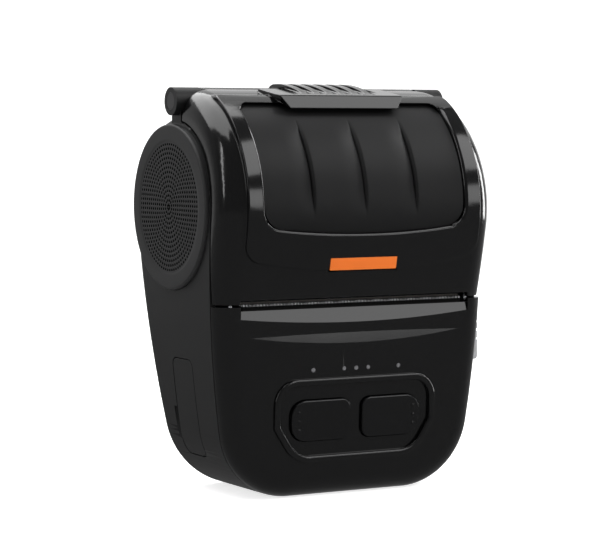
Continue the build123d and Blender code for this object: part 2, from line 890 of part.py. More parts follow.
lip_join = crown_y(cover_r - shell_gap, window_top_z + shell_gap)
lip_under = crown_y(window_r + 2 * shell_gap, window_top_z + shell_gap)
lip_tip = crown_y(window_r + 2 * shell_gap, lip_low_z)
with BuildSketch(Plane.YZ) as lip_side:
    with BuildLine():
        Polyline(
            (lip_front_y, lip_low_z), (lip_front_y + 1.9, lip_high_z), (-3, hinge_z + barrel_r - 0.3),
            (-3, lip_high_z - 0.5), (lip_join, window_top_z + 2 * shell_gap),
            (lip_under, window_top_z + 2 * shell_gap), (lip_tip, lip_low_z), close=True,
        )
    make_face()

with BuildPart() as lip:
    extrude(lip_side.sketch, amount=lip_half + lip_flare, both=True)
    with BuildSketch(Plane.XZ) as lip_front:
        with BuildLine():
            Polyline(
                (-lip_half, 0), (lip_half, 0), (lip_half, lip_low_z), (lip_half + lip_flare, lip_high_z),
                (lip_half + lip_flare, outline_top), (-lip_half - lip_flare, outline_top),
                (-lip_half - lip_flare, lip_high_z), (-lip_half, lip_low_z), close=True,
            )
        make_face()
    extrude(lip_front.sketch, amount=reach, both=True, mode=Mode.INTERSECT)

rib_r = barrel_r + rib_height
rib_front_y = lip_front_y + 3.4
knuckle_root = (hinge_y - barrel_r / 2, hinge_z + barrel_r / 2)


def rib_profile(x):
    """Side view of one grip rib, which runs from the knuckle to the lip."""
    with BuildSketch(Plane.YZ.offset(x)) as rib_side:
        with BuildLine():
            rib_arc = CenterArc((hinge_y, hinge_z), rib_r, 45, 45)
            rib_top = ThreePointArc(rib_arc @ 1, (-6, hinge_z + rib_r - 0.9), (rib_front_y, lip_high_z))
            Polyline(rib_top @ 1, (rib_front_y, lip_high_z - 1.5), knuckle_root, rib_arc @ 0)
        make_face()
    return rib_side.sketch


with BuildSketch(Plane.YZ) as pad_side:
    with BuildLine():
        Polyline(
            (hinge_y, hinge_z + barrel_r), (-6, hinge_z + barrel_r - 0.7),
            (rib_front_y, lip_high_z - 0.6), (rib_front_y, lip_high_z - 1.8),
            (lip_join, lip_high_z - 1.8), knuckle_root, close=True,
        )
    make_face()

with BuildPart() as surround:
    extrude(plate_outline, amount=reach)
    extrude(plate_side, amount=reach, both=True, mode=Mode.INTERSECT)
    extrude(plate_core, amount=reach, both=True, mode=Mode.SUBTRACT)

knuckle_half = ear_inner - ear_gap
accent_up = (accent_z - slot_z) / cos(radians(front_lean))
with BuildPart() as cover_frame:
    add(cover_outer)
    add(cover_inner, mode=Mode.SUBTRACT)
    extrude(cover_region, amount=reach, both=True, mode=Mode.INTERSECT)
    split(bisect_by=Plane.XY.offset(slot_z + cover_gap), keep=Keep.TOP)
    add(surround.part)
    extrude(window_hole, amount=reach, mode=Mode.SUBTRACT)
    add(lip.part)
    extrude(pad_side.sketch, amount=pad_half, both=True)
    for number in range(rib_count):
        rib_x = rib_pitch * (number - (rib_count - 1) / 2) - rib_width / 2
        extrude(rib_profile(rib_x), amount=rib_width)
    # room for the hinge's ears beside the knuckle
    for side in (-1, 1):
        with Locations((side * (knuckle_half + reach / 2), hinge_y - barrel_r - knuckle_clearance, hinge_z)):
            Box(
                reach, reach, 6 * barrel_r,
                align=(Align.CENTER, Align.MIN, Align.CENTER), mode=Mode.SUBTRACT,
            )
    with Locations(across(hinge_y, hinge_z)):
        Cylinder(barrel_r, 2 * knuckle_half)
        Cylinder(pin_r + running_clearance, 3 * knuckle_half, mode=Mode.SUBTRACT)
    with Locations(across(hinge_y, hinge_z, coil_x)):
        Cylinder(coil_r + coil_wall + layer_gap, coil_length + 2 * layer_gap, mode=Mode.SUBTRACT)
    # notch over the paper slot
    with Locations((0, cover_foot_y, slot_z)):
        Box(2 * slot_half, 4 * wall, 2 * slot_up, mode=Mode.SUBTRACT)
    # recess of the accent bar
    with BuildSketch(accent_plane.offset(plate_rise - accent_depth)):
        with Locations((0, accent_up)):
            Rectangle(2 * accent_half, accent_height)
    extrude(amount=2 * accent_depth, mode=Mode.SUBTRACT)
    # bosses that take the liner's screws
    for side in (-1, 1):
        for angle in screw_angles:
            with BuildSketch(radial_plane(angle, side * liner_screw_x, liner_r)):
                Circle(boss_r)
            extrude(amount=cover_r - wall / 2 - liner_r)
            with BuildSketch(radial_plane(angle, side * liner_screw_x, liner_r)):
                Circle(cover_screw_r + press_clearance)
            extrude(amount=cover_screw_length, mode=Mode.SUBTRACT)
finish(cover_frame.part, "cover_frame")

# Cover window: smoked plastic, let into the frame from behind and held by a flange
window_skin = round_slice(window_r, cover_r - wall - window_flange_depth / 2, 80, 130, reach / 2)
window_rim = round_slice(
    cover_r - wall - running_clearance, cover_r - wall - window_flange_depth, 80, 130, reach / 2
)
with BuildPart() as window_edge:
    extrude(flange_outline, amount=reach)
    add(window_rim, mode=Mode.INTERSECT)
with BuildPart() as cover_window:
    extrude(window_outline, amount=reach)
    add(window_skin, mode=Mode.INTERSECT)
    add(window_edge.part)
finish(cover_window.part, "cover_window")

# Accent bar inlaid under the window
with BuildPart() as accent_bar:
    with BuildSketch(accent_plane.offset(plate_rise - accent_depth)):
        with Locations((0, accent_up)):
            Rectangle(2 * (accent_half - running_clearance), accent_height - 2 * running_clearance)
    extrude(amount=accent_depth + shell_gap)
finish(accent_bar.part, "accent_bar")

# Cover liner: inner guide that keeps the roll in, with the platen's bearing cheeks
liner_sheet = round_slice(liner_r, liner_r - liner_thickness, 120, 78, frame_end)
cheek_low = 188
cheek_sweep = 39
with BuildPart() as cover_liner:
    add(liner_sheet)
    for side in (-1, 1):
        with BuildSketch(Plane.YZ.offset(side * cheek_x)):
            with BuildLine():
                cheek_outside = CenterArc((axis_y, axis_z), liner_r, cheek_low, cheek_sweep)
                cheek_inside = CenterArc((axis_y, axis_z), liner_r - 3.3, cheek_low, cheek_sweep)
                Line(cheek_outside @ 0, cheek_inside @ 0)
                Line(cheek_outside @ 1, cheek_inside @ 1)
            make_face()
            with Locations(platen_point):
                Circle(bushing_r + bushing_wall)
        extrude(amount=side * cheek_thickness)
        with Locations(across(*platen_point, side * (cheek_x + cheek_thickness / 2))):
            Cylinder(bushing_r + press_clearance, 2 * cheek_thickness, mode=Mode.SUBTRACT)
        for angle in screw_angles:
            hole_r = liner_r - 2 * liner_thickness
            with BuildSketch(radial_plane(angle, side * liner_screw_x, hole_r)):
                Circle(cover_screw_r + shell_gap)
            extrude(amount=3 * liner_thickness, mode=Mode.SUBTRACT)
finish(cover_liner.part, "cover_liner")

with BuildPart() as cover_screws:
    for side in (-1, 1):
        for angle in screw_angles:
            head_seat = liner_r - liner_thickness - shell_gap
            with BuildSketch(radial_plane(angle, side * liner_screw_x, head_seat - cover_screw_head)):
                Circle(boss_r)
            extrude(amount=cover_screw_head)
            with BuildSketch(radial_plane(angle, side * liner_screw_x, head_seat)):
                Circle(cover_screw_r)
            extrude(amount=liner_thickness + cover_screw_length - shell_gap)
finish(cover_screws.part, "cover_screws")

# Platen: rubber roller on a steel shaft that turns in two bushings
with BuildPart() as platen_bushings:
    for side in (-1, 1):
        with Locations(across(*platen_point, side * (cheek_x + cheek_thickness / 2))):
            Cylinder(bushing_r, cheek_thickness)
            Cylinder(shaft_r + running_clearance, 2 * cheek_thickness, mode=Mode.SUBTRACT)
finish(platen_bushings.part, "platen_bushings")

with BuildPart() as platen_roller:
    with Locations(across(*platen_point)):
        Cylinder(platen_r, 2 * roller_half)
        Cylinder(shaft_r + press_clearance, 3 * roller_half, mode=Mode.SUBTRACT)
finish(platen_roller.part, "platen_roller")

shaft_length = gear_end + frame_end + layer_gap
with BuildPart() as platen_shaft:
    with Locations(across(*platen_point, (frame_end + layer_gap - gear_end) / 2)):
        Cylinder(shaft_r, shaft_length)
finish(platen_shaft.part, "platen_shaft")

# Gear train beside the left cheek
idler_distance = gear_module * (platen_teeth + idler_teeth) / 2
idler_point = (platen_y - idler_distance * exit_y, platen_z - idler_distance * exit_z)
pinion_distance = gear_module * (idler_teeth + pinion_teeth) / 2
pinion_point = (
    idler_point[0] + pinion_distance * cos(radians(pinion_turn)),
    idler_point[1] + pinion_distance * sin(radians(pinion_turn)),
)
to_idler = degrees(atan2(-exit_z, -exit_y))


def meshed_turn(turn, teeth, direction, next_teeth):
    """Turn of a gear whose teeth fall between those of the gear that it meets in a direction."""
    share = ((direction - turn) * teeth / 360) % 1
    return direction + 180 - (0.5 - share) * 360 / next_teeth


platen_turn = 0.0
idler_turn = meshed_turn(platen_turn, platen_teeth, to_idler, idler_teeth)
motor_turn = meshed_turn(idler_turn, idler_teeth, pinion_turn, pinion_teeth)


def gear_sketch(teeth, turn, point, bore):
    """Involute gear seen along X, with the middle of one tooth at the turn angle."""
    pitch_r = gear_module * teeth / 2
    base_r = pitch_r * cos(radians(pressure_angle))
    tip_r = pitch_r + gear_addendum * gear_module
    root_r = pitch_r - gear_dedendum * gear_module
    flank_r = max(base_r, root_r)
    half_tooth = (pi * gear_module / 2 - gear_backlash) / (2 * pitch_r)
    half_tooth += tan(radians(pressure_angle)) - radians(pressure_angle)
    flank = []
    for radius in [root_r] + [flank_r + (tip_r - flank_r) * step / 4 for step in range(5)]:
        roll_angle = acos(min(1, base_r / radius))
        flank.append((radius, half_tooth - tan(roll_angle) + roll_angle))
    points = []
    for tooth in range(teeth):
        middle = radians(turn + 360 * tooth / teeth)
        edge = [(radius, middle - half) for radius, half in flank]
        edge += [(radius, middle + half) for radius, half in reversed(flank)]
        for radius, angle in edge:
            points.append((point[0] + radius * cos(angle), point[1] + radius * sin(angle)))
    with BuildSketch(Plane.YZ.offset(-gear_end)) as gear:
        with BuildLine():
            Polyline(*points, close=True)
        make_face()
        with Locations(point):
            Circle(bore, mode=Mode.SUBTRACT)
    return gear.sketch


platen_gear_face = gear_sketch(platen_teeth, platen_turn, platen_point, shaft_r + press_clearance)
idler_face = gear_sketch(idler_teeth, idler_turn, idler_point, post_r + running_clearance)
pinion_face = gear_sketch(pinion_teeth, motor_turn, pinion_point, motor_shaft_r + press_clearance)

with BuildPart() as platen_gear:
    extrude(platen_gear_face, amount=gear_thickness)
finish(platen_gear.part, "platen_gear")

with BuildPart() as idler_gear:
    extrude(idler_face, amount=gear_thickness)
finish(idler_gear.part, "idler_gear")

with BuildPart() as motor_pinion:
    extrude(pinion_face, amount=gear_thickness)
finish(motor_pinion.part, "motor_pinion")

motor_shaft_length = gear_end - cheek_x + motor_length - frame_thickness
with BuildPart() as motor_shaft:
    with Locations(across(*pinion_point, motor_shaft_length / 2 - gear_end)):
        Cylinder(motor_shaft_r, motor_shaft_length)
finish(motor_shaft.part, "motor_shaft")

with BuildPart() as stepper_motor:
    with Locations(across(*pinion_point, motor_length / 2 - cheek_x)):
        Cylinder(motor_r, motor_length)
    fillet(stepper_motor.edges().sort_by(Axis.X)[-1], radius=frame_thickness)
    with Locations(across(*pinion_point, -cheek_x)):
        Cylinder(
            motor_shaft_r + running_clearance, 2 * (motor_length - frame_thickness / 2), mode=Mode.SUBTRACT
        )
finish(stepper_motor.part, "stepper_motor")

with BuildPart() as idler_post:
    with Locations(across(*idler_point, -(cheek_x + gear_end + shell_gap) / 2)):
        Cylinder(post_r, gear_end + shell_gap - cheek_x)
finish(idler_post.part, "idler_post")

# Print mechanism's frame: a bent steel deck with a plate at each end
ear_r = latch_r + 1.9
plate_front_y = head_front_y + 0.6
plate_back_y = latch_y + ear_r
plate_high_z = deck_z + spring_length + sink_thickness + ceramic_thickness
head_pivot = (head_back_y - 0.8, plate_high_z - ceramic_thickness - head_pivot_drop)
deck_back_y = rail_y
with BuildPart() as mech_frame:
    with Locations((0, (plate_front_y + deck_back_y) / 2, deck_z - frame_thickness / 2)):
        Box(2 * frame_end, deck_back_y - plate_front_y, frame_thickness)
    for side in (-1, 1):
        with BuildSketch(Plane.YZ.offset(side * cheek_x)):
            with Locations(((plate_front_y + plate_back_y) / 2, (frame_low_z + plate_high_z) / 2)):
                Rectangle(plate_back_y - plate_front_y, plate_high_z - frame_low_z)
            with Locations((latch_y, latch_z)):
                Circle(ear_r)
            if side < 0:
                motor_back_y = pinion_point[0] + motor_r + 1.5
                with Locations(((latch_y + motor_back_y) / 2, (plate_high_z + motor_low_z) / 2)):
                    Rectangle(motor_back_y - latch_y, plate_high_z - motor_low_z)
                with Locations((idler_point[0] + post_r, idler_point[1])):
                    Circle(ear_r)
                with Locations(idler_point):
                    Circle(post_r + press_clearance, mode=Mode.SUBTRACT)
                with Locations(pinion_point):
                    Circle(motor_shaft_r + lever_clearance, mode=Mode.SUBTRACT)
            with Locations((latch_y, latch_z)):
                Circle(latch_r + running_clearance, mode=Mode.SUBTRACT)
            with Locations(head_pivot):
                Circle(head_pivot_r + running_clearance, mode=Mode.SUBTRACT)
            with Locations((rail_y, rail_z)):
                Circle(screw_r / 2 + shell_gap, mode=Mode.SUBTRACT)
        extrude(amount=side * frame_thickness)
finish(mech_frame.part, "mech_frame")

with BuildPart() as mech_screws:
    for side in (-1, 1):
        with Locations(across(rail_y, rail_z, side * (cheek_x - screw_head / 2))):
            Cylinder(rail_screw_head_r, screw_head)
        with Locations(across(rail_y, rail_z, side * (cheek_x + rail_screw / 2))):
            Cylinder(screw_r / 2, rail_screw)
finish(mech_screws.part, "mech_screws")

# Print head: ceramic strip on an aluminium sink, which tilts on two pins and rides on springs
head_depth = head_back_y - head_front_y
head_middle_y = (head_back_y + head_front_y) / 2
with BuildPart() as print_head:
    with Locations((0, head_middle_y, plate_high_z - ceramic_thickness / 2)):
        Box(2 * head_half, head_depth, ceramic_thickness)
finish(print_head.part, "print_head")

sink_low_z = deck_z + spring_length
with BuildPart() as head_heatsink:
    with Locations((0, head_middle_y, sink_low_z + sink_thickness / 2)):
        Box(2 * head_half, head_depth, sink_thickness)
    with Locations(across(*head_pivot)):
        Cylinder(head_pivot_r, 2 * (cheek_x + frame_thickness - shell_gap))
finish(head_heatsink.part, "head_heatsink")

spring_y = head_front_y + 4.4
with BuildPart() as head_springs:
    with BuildSketch(Plane.XY.offset(deck_z)):
        with Locations((-spring_x, spring_y), (spring_x, spring_y)):
            Circle(spring_r)
            Circle(spring_r - coil_wall, mode=Mode.SUBTRACT)
    extrude(amount=spring_length)
finish(head_springs.part, "head_springs")

# Tear bar: toothed steel strip behind the lower edge of the slot
tooth_count = int(2 * tear_half / tooth_pitch)
tear_points = [(-tear_half, tear_top - tear_height), (-tear_half, tear_top - tooth_depth)]
for tooth in range(tooth_count):
    tear_points.append((-tear_half + tooth_pitch * (tooth + 0.5), tear_top))
    tear_points.append((-tear_half + tooth_pitch * (tooth + 1), tear_top - tooth_depth))
tear_points.append((tear_half, tear_top - tear_height))
with BuildPart() as tear_bar:
    with BuildSketch(panel_plane.offset(-wall - tear_gap - tear_thickness)):
        with BuildLine():
            Polyline(*tear_points, close=True)
        make_face()
    extrude(amount=tear_thickness)
finish(tear_bar.part, "tear_bar")

# Latch: a shaft with two hooks that grip the platen's shaft, and a crank that the lever lifts
with BuildPart() as latch_shaft:
    with Locations(across(latch_y, latch_z, (crank_x + crank_thickness - frame_end) / 2)):
        Cylinder(latch_r, crank_x + crank_thickness + frame_end)
finish(latch_shaft.part, "latch_shaft")

hook_high = shaft_r + hook_clearance
hook_near = latch_reach + hook_high
hook_tip = hook_near + finger_thickness
hook_back = hook_high + 2.5
hook_shape = [
    (-1, 3), (6.5, hook_back), (hook_tip, hook_back), (hook_tip, -0.6),
    (hook_near, -0.6), (hook_near, hook_high), (7.5, hook_high), (1.5, -3),
]
hook_points = [
    (latch_y + out * exit_y + up * exit_z, latch_z + out * exit_z - up * exit_y) for out, up in hook_shape
]
for side, name in ((-1, "left_latch_hook"), (1, "right_latch_hook")):
    with BuildPart() as latch_hook:
        with BuildSketch(Plane.YZ.offset(side * hook_x)):
            with BuildLine():
                Polyline(*hook_points, close=True)
            make_face()
            with Locations((latch_y, latch_z)):
                Circle(ear_r - 0.2)
                Circle(latch_r + press_clearance, mode=Mode.SUBTRACT)
        extrude(amount=side * hook_thickness)
    finish(latch_hook.part, name)

with BuildPart() as latch_crank:
    with BuildSketch(Plane.YZ.offset(crank_x)) as crank_face:
        with Locations((latch_y, latch_z)):
            Circle(ear_r - 0.6)
        with Locations((pin_y, pin_z)):
            Circle(crank_pin_r + 0.8)
        make_hull()
        with Locations((latch_y, latch_z)):
            Circle(latch_r + press_clearance, mode=Mode.SUBTRACT)
    extrude(amount=crank_thickness)
    with Locations(across(pin_y, pin_z, crank_x + crank_thickness + crank_pin_length / 2)):
        Cylinder(crank_pin_r, crank_pin_length)
finish(latch_crank.part, "latch_crank")

with BuildPart() as latch_spring:
    with Locations(across(latch_y, latch_z, latch_spring_x)):
        Cylinder(latch_r + 4 * running_clearance + coil_wall, coil_length)
        Cylinder(latch_r + 4 * running_clearance, coil_length, mode=Mode.SUBTRACT)
finish(latch_spring.part, "latch_spring")

# Open lever: ridged slider in the right side, whose inner plate carries a slot for the crank's pin
lever_half = (lever_high_z - lever_low_z) / 2
pin_across = pin_y - lever_y
pin_up = (pin_z - lever_z) / cos(radians(lever_slope))
slot_height = 2 * crank_pin_r + 0.6
head_high = pin_up + slot_height / 2 + 1.4
head_low = pin_up - slot_height / 2 - 1.4
with BuildPart() as open_lever:
    with BuildSketch(lever_plane.offset(shell_gap - lever_sink)):
        rounded(lever_width, 2 * lever_half, lever_width / 4)
    extrude(amount=lever_proud + lever_sink - shell_gap)
    fillet(open_lever.faces().sort_by(Axis.X)[-1].edges(), radius=lever_grip)
    with BuildSketch(lever_plane.offset(lever_proud)):
        with GridLocations(0, 2.8, 1, 3):
            Rectangle(lever_width, lever_grip)
    extrude(amount=-lever_grip, mode=Mode.SUBTRACT)
    with BuildSketch(lever_plane.offset(-lever_inner)):
        Rectangle(stem_width, stem_height)
    extrude(amount=lever_inner)
    with BuildSketch(lever_plane.offset(-lever_inner - lever_plate)):
        with Locations((0, (head_high - stem_height / 2) / 2)):
            Rectangle(stem_width + 0.6, head_high + stem_height / 2)
        with Locations(((pin_across + 1.7 - stem_width / 2) / 2, (head_high + head_low) / 2)):
            Rectangle(pin_across + 1.7 + stem_width / 2, head_high - head_low)
        with Locations((pin_across, pin_up)):
            Rectangle(2 * crank_pin_r + 1.0, slot_height, mode=Mode.SUBTRACT)
    extrude(amount=lever_plate)
finish(open_lever.part, "open_lever")

# Paper bay: round trough for the roll, open to the top and the front
bay_side_x = roller_half + bay_side_clearance
bay_side_end = bay_side_x + bay_wall_thickness
bay_front_y = -3.0
with BuildPart() as paper_bay:
    add(round_slice(bay_outer_r, bay_inner_r, -125, 203, bay_side_end))
    for side in (-1, 1):
        with BuildSketch(Plane.YZ.offset(side * bay_side_x)):
            with Locations((axis_y, axis_z)):
                Circle(bay_outer_r)
        extrude(amount=side * bay_wall_thickness)
        with Locations((side * (bay_side_x + reach / 2), bay_front_y, axis_z)):
            Box(reach, reach, reach, align=(Align.CENTER, Align.MAX, Align.CENTER), mode=Mode.SUBTRACT)
        with Locations((side * (roller_half + shell_gap + reach / 2), bay_front_y, axis_z)):
            Box(reach, reach, reach, align=(Align.CENTER, Align.MAX, Align.CENTER), mode=Mode.SUBTRACT)
finish(paper_bay.part, "paper_bay")

with BuildPart() as paper_sensor:
    with Locations((0, -3.8, 63.1)):
        Box(8, 4, 2.4)
finish(paper_sensor.part, "paper_sensor")

antenna_end = side_half(axis_z + antenna_r) - wall - shell_gap
with BuildPart() as tag_antenna:
    with Locations(across(axis_y, axis_z, antenna_thickness / 2 - antenna_end)):
        Cylinder(antenna_r, antenna_thickness)
finish(tag_antenna.part, "tag_antenna")

# Main board with its sockets and larger parts
board_middle_y = main_board_y + main_board_thickness / 2
board_middle_z = (main_board_low_z + main_board_high_z) / 2
with BuildPart() as main_board:
    with Locations((0, board_middle_y, board_middle_z)):
        Box(2 * main_board_half, main_board_thickness, main_board_high_z - main_board_low_z)
    corners = main_board.edges().filter_by(Axis.Y).group_by(Axis.Z)[0]
    chamfer(corners, length=board_corner)
    for x in (-board_post_x, board_post_x):
        for z in (board_hole_low, board_hole_high):
            with Locations(Location((x, board_middle_y, z), (90, 0, 0))):
                Cylinder(screw_r + shell_gap, 2 * main_board_thickness, mode=Mode.SUBTRACT)
finish(main_board.part, "main_board")

with BuildPart() as board_screws:
    for x in (-board_post_x, board_post_x):
        for z in (board_hole_low, board_hole_high):
            with Locations(Location((x, main_board_y - screw_head / 2, z), (90, 0, 0))):
                Cylinder(screw_head_r, screw_head)
            with Locations(Location((x, main_board_y + board_screw_length / 2, z), (90, 0, 0))):
                Cylinder(screw_r, board_screw_length)
finish(board_screws.part, "board_screws")

# Sockets stand behind the board and open towards the interface cover
usb_end = hip_half - 0.5
with BuildPart() as usb_socket:
    with Locations((-usb_end, board_back_y, usb_z)):
        Box(6.7, 3.0, 2 * usb_half, align=(Align.MIN, Align.MIN, Align.CENTER))
    fillet(usb_socket.edges().filter_by(Axis.X), radius=1.2)
    with Locations((-usb_end, board_back_y + 1.5, usb_z)):
        Box(2 * 5.2, 2.2, 2 * usb_half - 0.8, mode=Mode.SUBTRACT)
        Box(2 * 5.2, 0.6, 2 * usb_half - 2.4)
    split(bisect_by=Plane.YZ.offset(-usb_end), keep=Keep.TOP)
finish(usb_socket.part, "usb_socket")

jack_end = hip_half - flap_thickness - 1.4
jack_length = jack_end - pack_half - pack_gap - bay_wall - 0.5
with BuildPart() as dc_jack:
    with Locations((-jack_end, board_back_y, jack_z)):
        Box(jack_length, 2 * jack_half, 2 * jack_half, align=(Align.MIN, Align.MIN, Align.CENTER))
    with Locations(across(board_back_y + jack_half, jack_z, -jack_end)):
        Cylinder(3.0, 2 * 8.0, mode=Mode.SUBTRACT)
    with Locations(across(board_back_y + jack_half, jack_z, -jack_end + 5.0)):
        Cylinder(1.0, 8.0)
finish(dc_jack.part, "dc_jack")

with BuildPart() as head_socket:
    with Locations((0, main_board_y - 1.25, 36)):
        Box(28, 2.5, 4)
finish(head_socket.part, "head_socket")

with BuildPart() as buzzer:
    with Locations(Location((18, main_board_y - 1.25, 22), (90, 0, 0))):
        Cylinder(6, 2.5)
        Cylinder(1, 6, mode=Mode.SUBTRACT)
finish(buzzer.part, "buzzer")

with BuildPart() as radio_module:
    with Locations((-18, main_board_y - 1.1, 22)):
        Box(16, 2.2, 12)
finish(radio_module.part, "radio_module")

# Flat cable from the print head down to its socket
cable_route = [(head_back_y + 0.35, 57.5), (-10.4, 55.0), (-10.4, 44.0), (main_board_y - 1.2, 38.4)]
with BuildPart() as head_cable:
    with BuildSketch(Plane.YZ):
        with BuildLine() as cable_line:
            FilletPolyline(*cable_route, radius=2.0)
        trace(cable_line.line, cable_thickness)
    extrude(amount=cable_half, both=True)
finish(head_cable.part, "head_cable")

# Panel board behind the front panel, with switches, lights and their guides
with BuildPart() as panel_board:
    with BuildSketch(panel_plane.offset(-board_front - board_thickness)):
        with Locations((0, board_middle)):
            rounded(2 * board_half, board_height, 1.5)
        with Locations(board_posts):
            Circle(screw_r / 2 + shell_gap, mode=Mode.SUBTRACT)
    extrude(amount=board_thickness)
finish(panel_board.part, "panel_board")

with BuildPart() as panel_board_screws:
    with BuildSketch(panel_plane.offset(-board_front - board_thickness - screw_head)):
        with Locations(board_posts):
            Circle(board_post_r - shell_gap)
    extrude(amount=screw_head)
    with BuildSketch(panel_plane.offset(-board_front - board_thickness)):
        with Locations(board_posts):
            Circle(screw_r / 2)
    extrude(amount=board_thickness + 4.0)
finish(panel_board_screws.part, "panel_board_screws")

switch_points = [(side * (button_gap + button_width) / 2, panel_up(button_z)) for side in (-1, 1)]
with BuildPart() as tact_switches:
    with BuildSketch(panel_plane.offset(-board_front)):
        with Locations(switch_points):
            Rectangle(switch_side, switch_side)
    extrude(amount=switch_body)
    with BuildSketch(panel_plane.offset(-switch_top)):
        with Locations(switch_points):
            Circle(1.7)
    extrude(amount=plunger_height)
finish(tact_switches.part, "tact_switches")

guide_low = board_front - 1.1
with BuildPart() as status_leds:
    with BuildSketch(panel_plane.offset(-board_front)):
        with Locations(light_points):
            Rectangle(1.6, 1.6)
    extrude(amount=board_front - guide_low - shell_gap)
finish(status_leds.part, "status_leds")

with BuildPart() as light_guides:
    with BuildSketch(panel_plane.offset(-guide_low)):
        with Locations(light_points):
            Circle(light_r)
    extrude(amount=guide_low + shell_gap)
finish(light_guides.part, "light_guides")

# Buttons: caps that come through the pod from behind
flange_low = wall + button_clearance + flange_thickness
for side, name in ((-1, "power_button"), (1, "feed_button")):
    with BuildPart() as push_button:
        extrude(button_faces[side], amount=button_rise)
        fillet(push_button.faces().sort_by(Axis.Y)[0].edges(), radius=button_rise / 2)
        extrude(button_faces[side], amount=-flange_low)
        extrude(button_flanges[side], amount=-flange_low)
        extrude(button_flanges[side], amount=-flange_low + flange_thickness, mode=Mode.SUBTRACT)
        extrude(button_faces[side], amount=-flange_low)
        with BuildSketch(panel_plane.offset(-stem_tip)):
            with Locations(((side * (button_gap + button_width) / 2), panel_up(button_z))):
                Circle(1.6)
        extrude(amount=stem_tip)
    finish(push_button.part, name)

# Interface cover: hinged flap in the left side
with BuildSketch(Plane.YZ.offset(-hip_half + 3 * wall)) as flap_face:
    with Locations(flap_middle):
        rounded(flap_back_y - flap_front_y, flap_high_z - flap_low_z, flap_corner)
with BuildPart() as interface_cover:
    add(base_outer)
    add(flap_inner, mode=Mode.SUBTRACT)
    extrude(flap_face.sketch, amount=-8 * wall, mode=Mode.INTERSECT)
finish(interface_cover.part, "interface_cover")

# Battery: a pack that slides into the back, its contacts and its latch
with BuildPart() as battery_pack:
    with BuildSketch(rear_plane.offset(-pack_depth)):
        with Locations((0, pack_middle)):
            rounded(2 * pack_half, pack_length, 1.5)
    extrude(amount=pack_depth)
    with BuildSketch(rear_plane):
        with Locations((0, pack_low + 4.5)):
            SlotOverall(18, 2.4)
    extrude(amount=-1.2, mode=Mode.SUBTRACT)
finish(battery_pack.part, "battery_pack")

with BuildPart() as battery_contacts:
    with BuildSketch(rear_plane.offset(-pack_depth - pack_gap - bay_wall - 0.4)):
        with Locations((0, pack_middle)):
            Rectangle(contact_width, contact_height)
    extrude(amount=bay_wall + pack_gap + 0.2)
finish(battery_contacts.part, "battery_contacts")

with BuildPart() as battery_latch:
    with BuildSketch(rear_plane.offset(shell_gap - lever_sink)):
        with Locations((0, slider_middle)):
            rounded(2 * latch_half, latch_height, 1.5)
    extrude(amount=lever_sink + button_rise - shell_gap)
    with BuildSketch(rear_plane.offset(button_rise)):
        with Locations((0, slider_middle)):
            with GridLocations(0, 1.5, 1, 3):
                Rectangle(latch_half, 0.7)
    extrude(amount=-0.5, mode=Mode.SUBTRACT)
    with BuildSketch(rear_plane.offset(-slider_inner)):
        with Locations((0, slider_stem_middle)):
            Rectangle(latch_half, slider_stem)
    extrude(amount=slider_inner)
    with BuildSketch(rear_plane.offset(-slider_inner - 1.0)):
        with Locations((0, slider_stem_middle)):
            Rectangle(2 * latch_half, slider_stem + 0.6)
    extrude(amount=1.0)
finish(battery_latch.part, "battery_latch")

with BuildPart() as case_screws:
    with BuildSketch(Plane.XY.offset(shell_gap)):
        with Locations((-case_screw_x, case_screw_y), (case_screw_x, case_screw_y)):
            Circle(screw_head_r)
            RegularPolygon(screw_r, 6, mode=Mode.SUBTRACT)
    extrude(amount=wall / 2 - shell_gap)
    with BuildSketch(Plane.XY.offset(wall / 2 - 0.4)):
        with Locations((-case_screw_x, case_screw_y), (case_screw_x, case_screw_y)):
            Circle(screw_r)
    extrude(amount=wall + tab_height - wall / 2)
finish(case_screws.part, "case_screws")
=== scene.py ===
import json
from math import cos, hypot, pi, radians, sin, sqrt

import bpy
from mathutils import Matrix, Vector

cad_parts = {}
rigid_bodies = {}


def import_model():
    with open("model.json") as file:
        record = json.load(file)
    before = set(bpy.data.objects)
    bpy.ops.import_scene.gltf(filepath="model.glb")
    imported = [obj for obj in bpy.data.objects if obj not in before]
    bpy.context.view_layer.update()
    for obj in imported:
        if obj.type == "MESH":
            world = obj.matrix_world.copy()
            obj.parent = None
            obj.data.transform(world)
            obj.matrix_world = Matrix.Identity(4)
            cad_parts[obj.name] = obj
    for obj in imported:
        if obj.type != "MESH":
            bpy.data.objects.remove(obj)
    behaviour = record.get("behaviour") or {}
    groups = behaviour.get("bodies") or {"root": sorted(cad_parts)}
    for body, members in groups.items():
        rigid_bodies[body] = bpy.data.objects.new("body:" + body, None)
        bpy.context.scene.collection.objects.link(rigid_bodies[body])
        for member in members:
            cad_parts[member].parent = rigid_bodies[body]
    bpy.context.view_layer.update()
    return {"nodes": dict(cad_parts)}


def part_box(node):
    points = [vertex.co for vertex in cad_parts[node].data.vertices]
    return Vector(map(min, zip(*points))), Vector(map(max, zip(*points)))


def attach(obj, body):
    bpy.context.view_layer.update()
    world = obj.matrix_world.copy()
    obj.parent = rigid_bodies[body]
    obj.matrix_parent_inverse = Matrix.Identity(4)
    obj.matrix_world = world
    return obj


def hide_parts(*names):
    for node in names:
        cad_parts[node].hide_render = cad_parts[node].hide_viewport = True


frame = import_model()
scene = bpy.context.scene


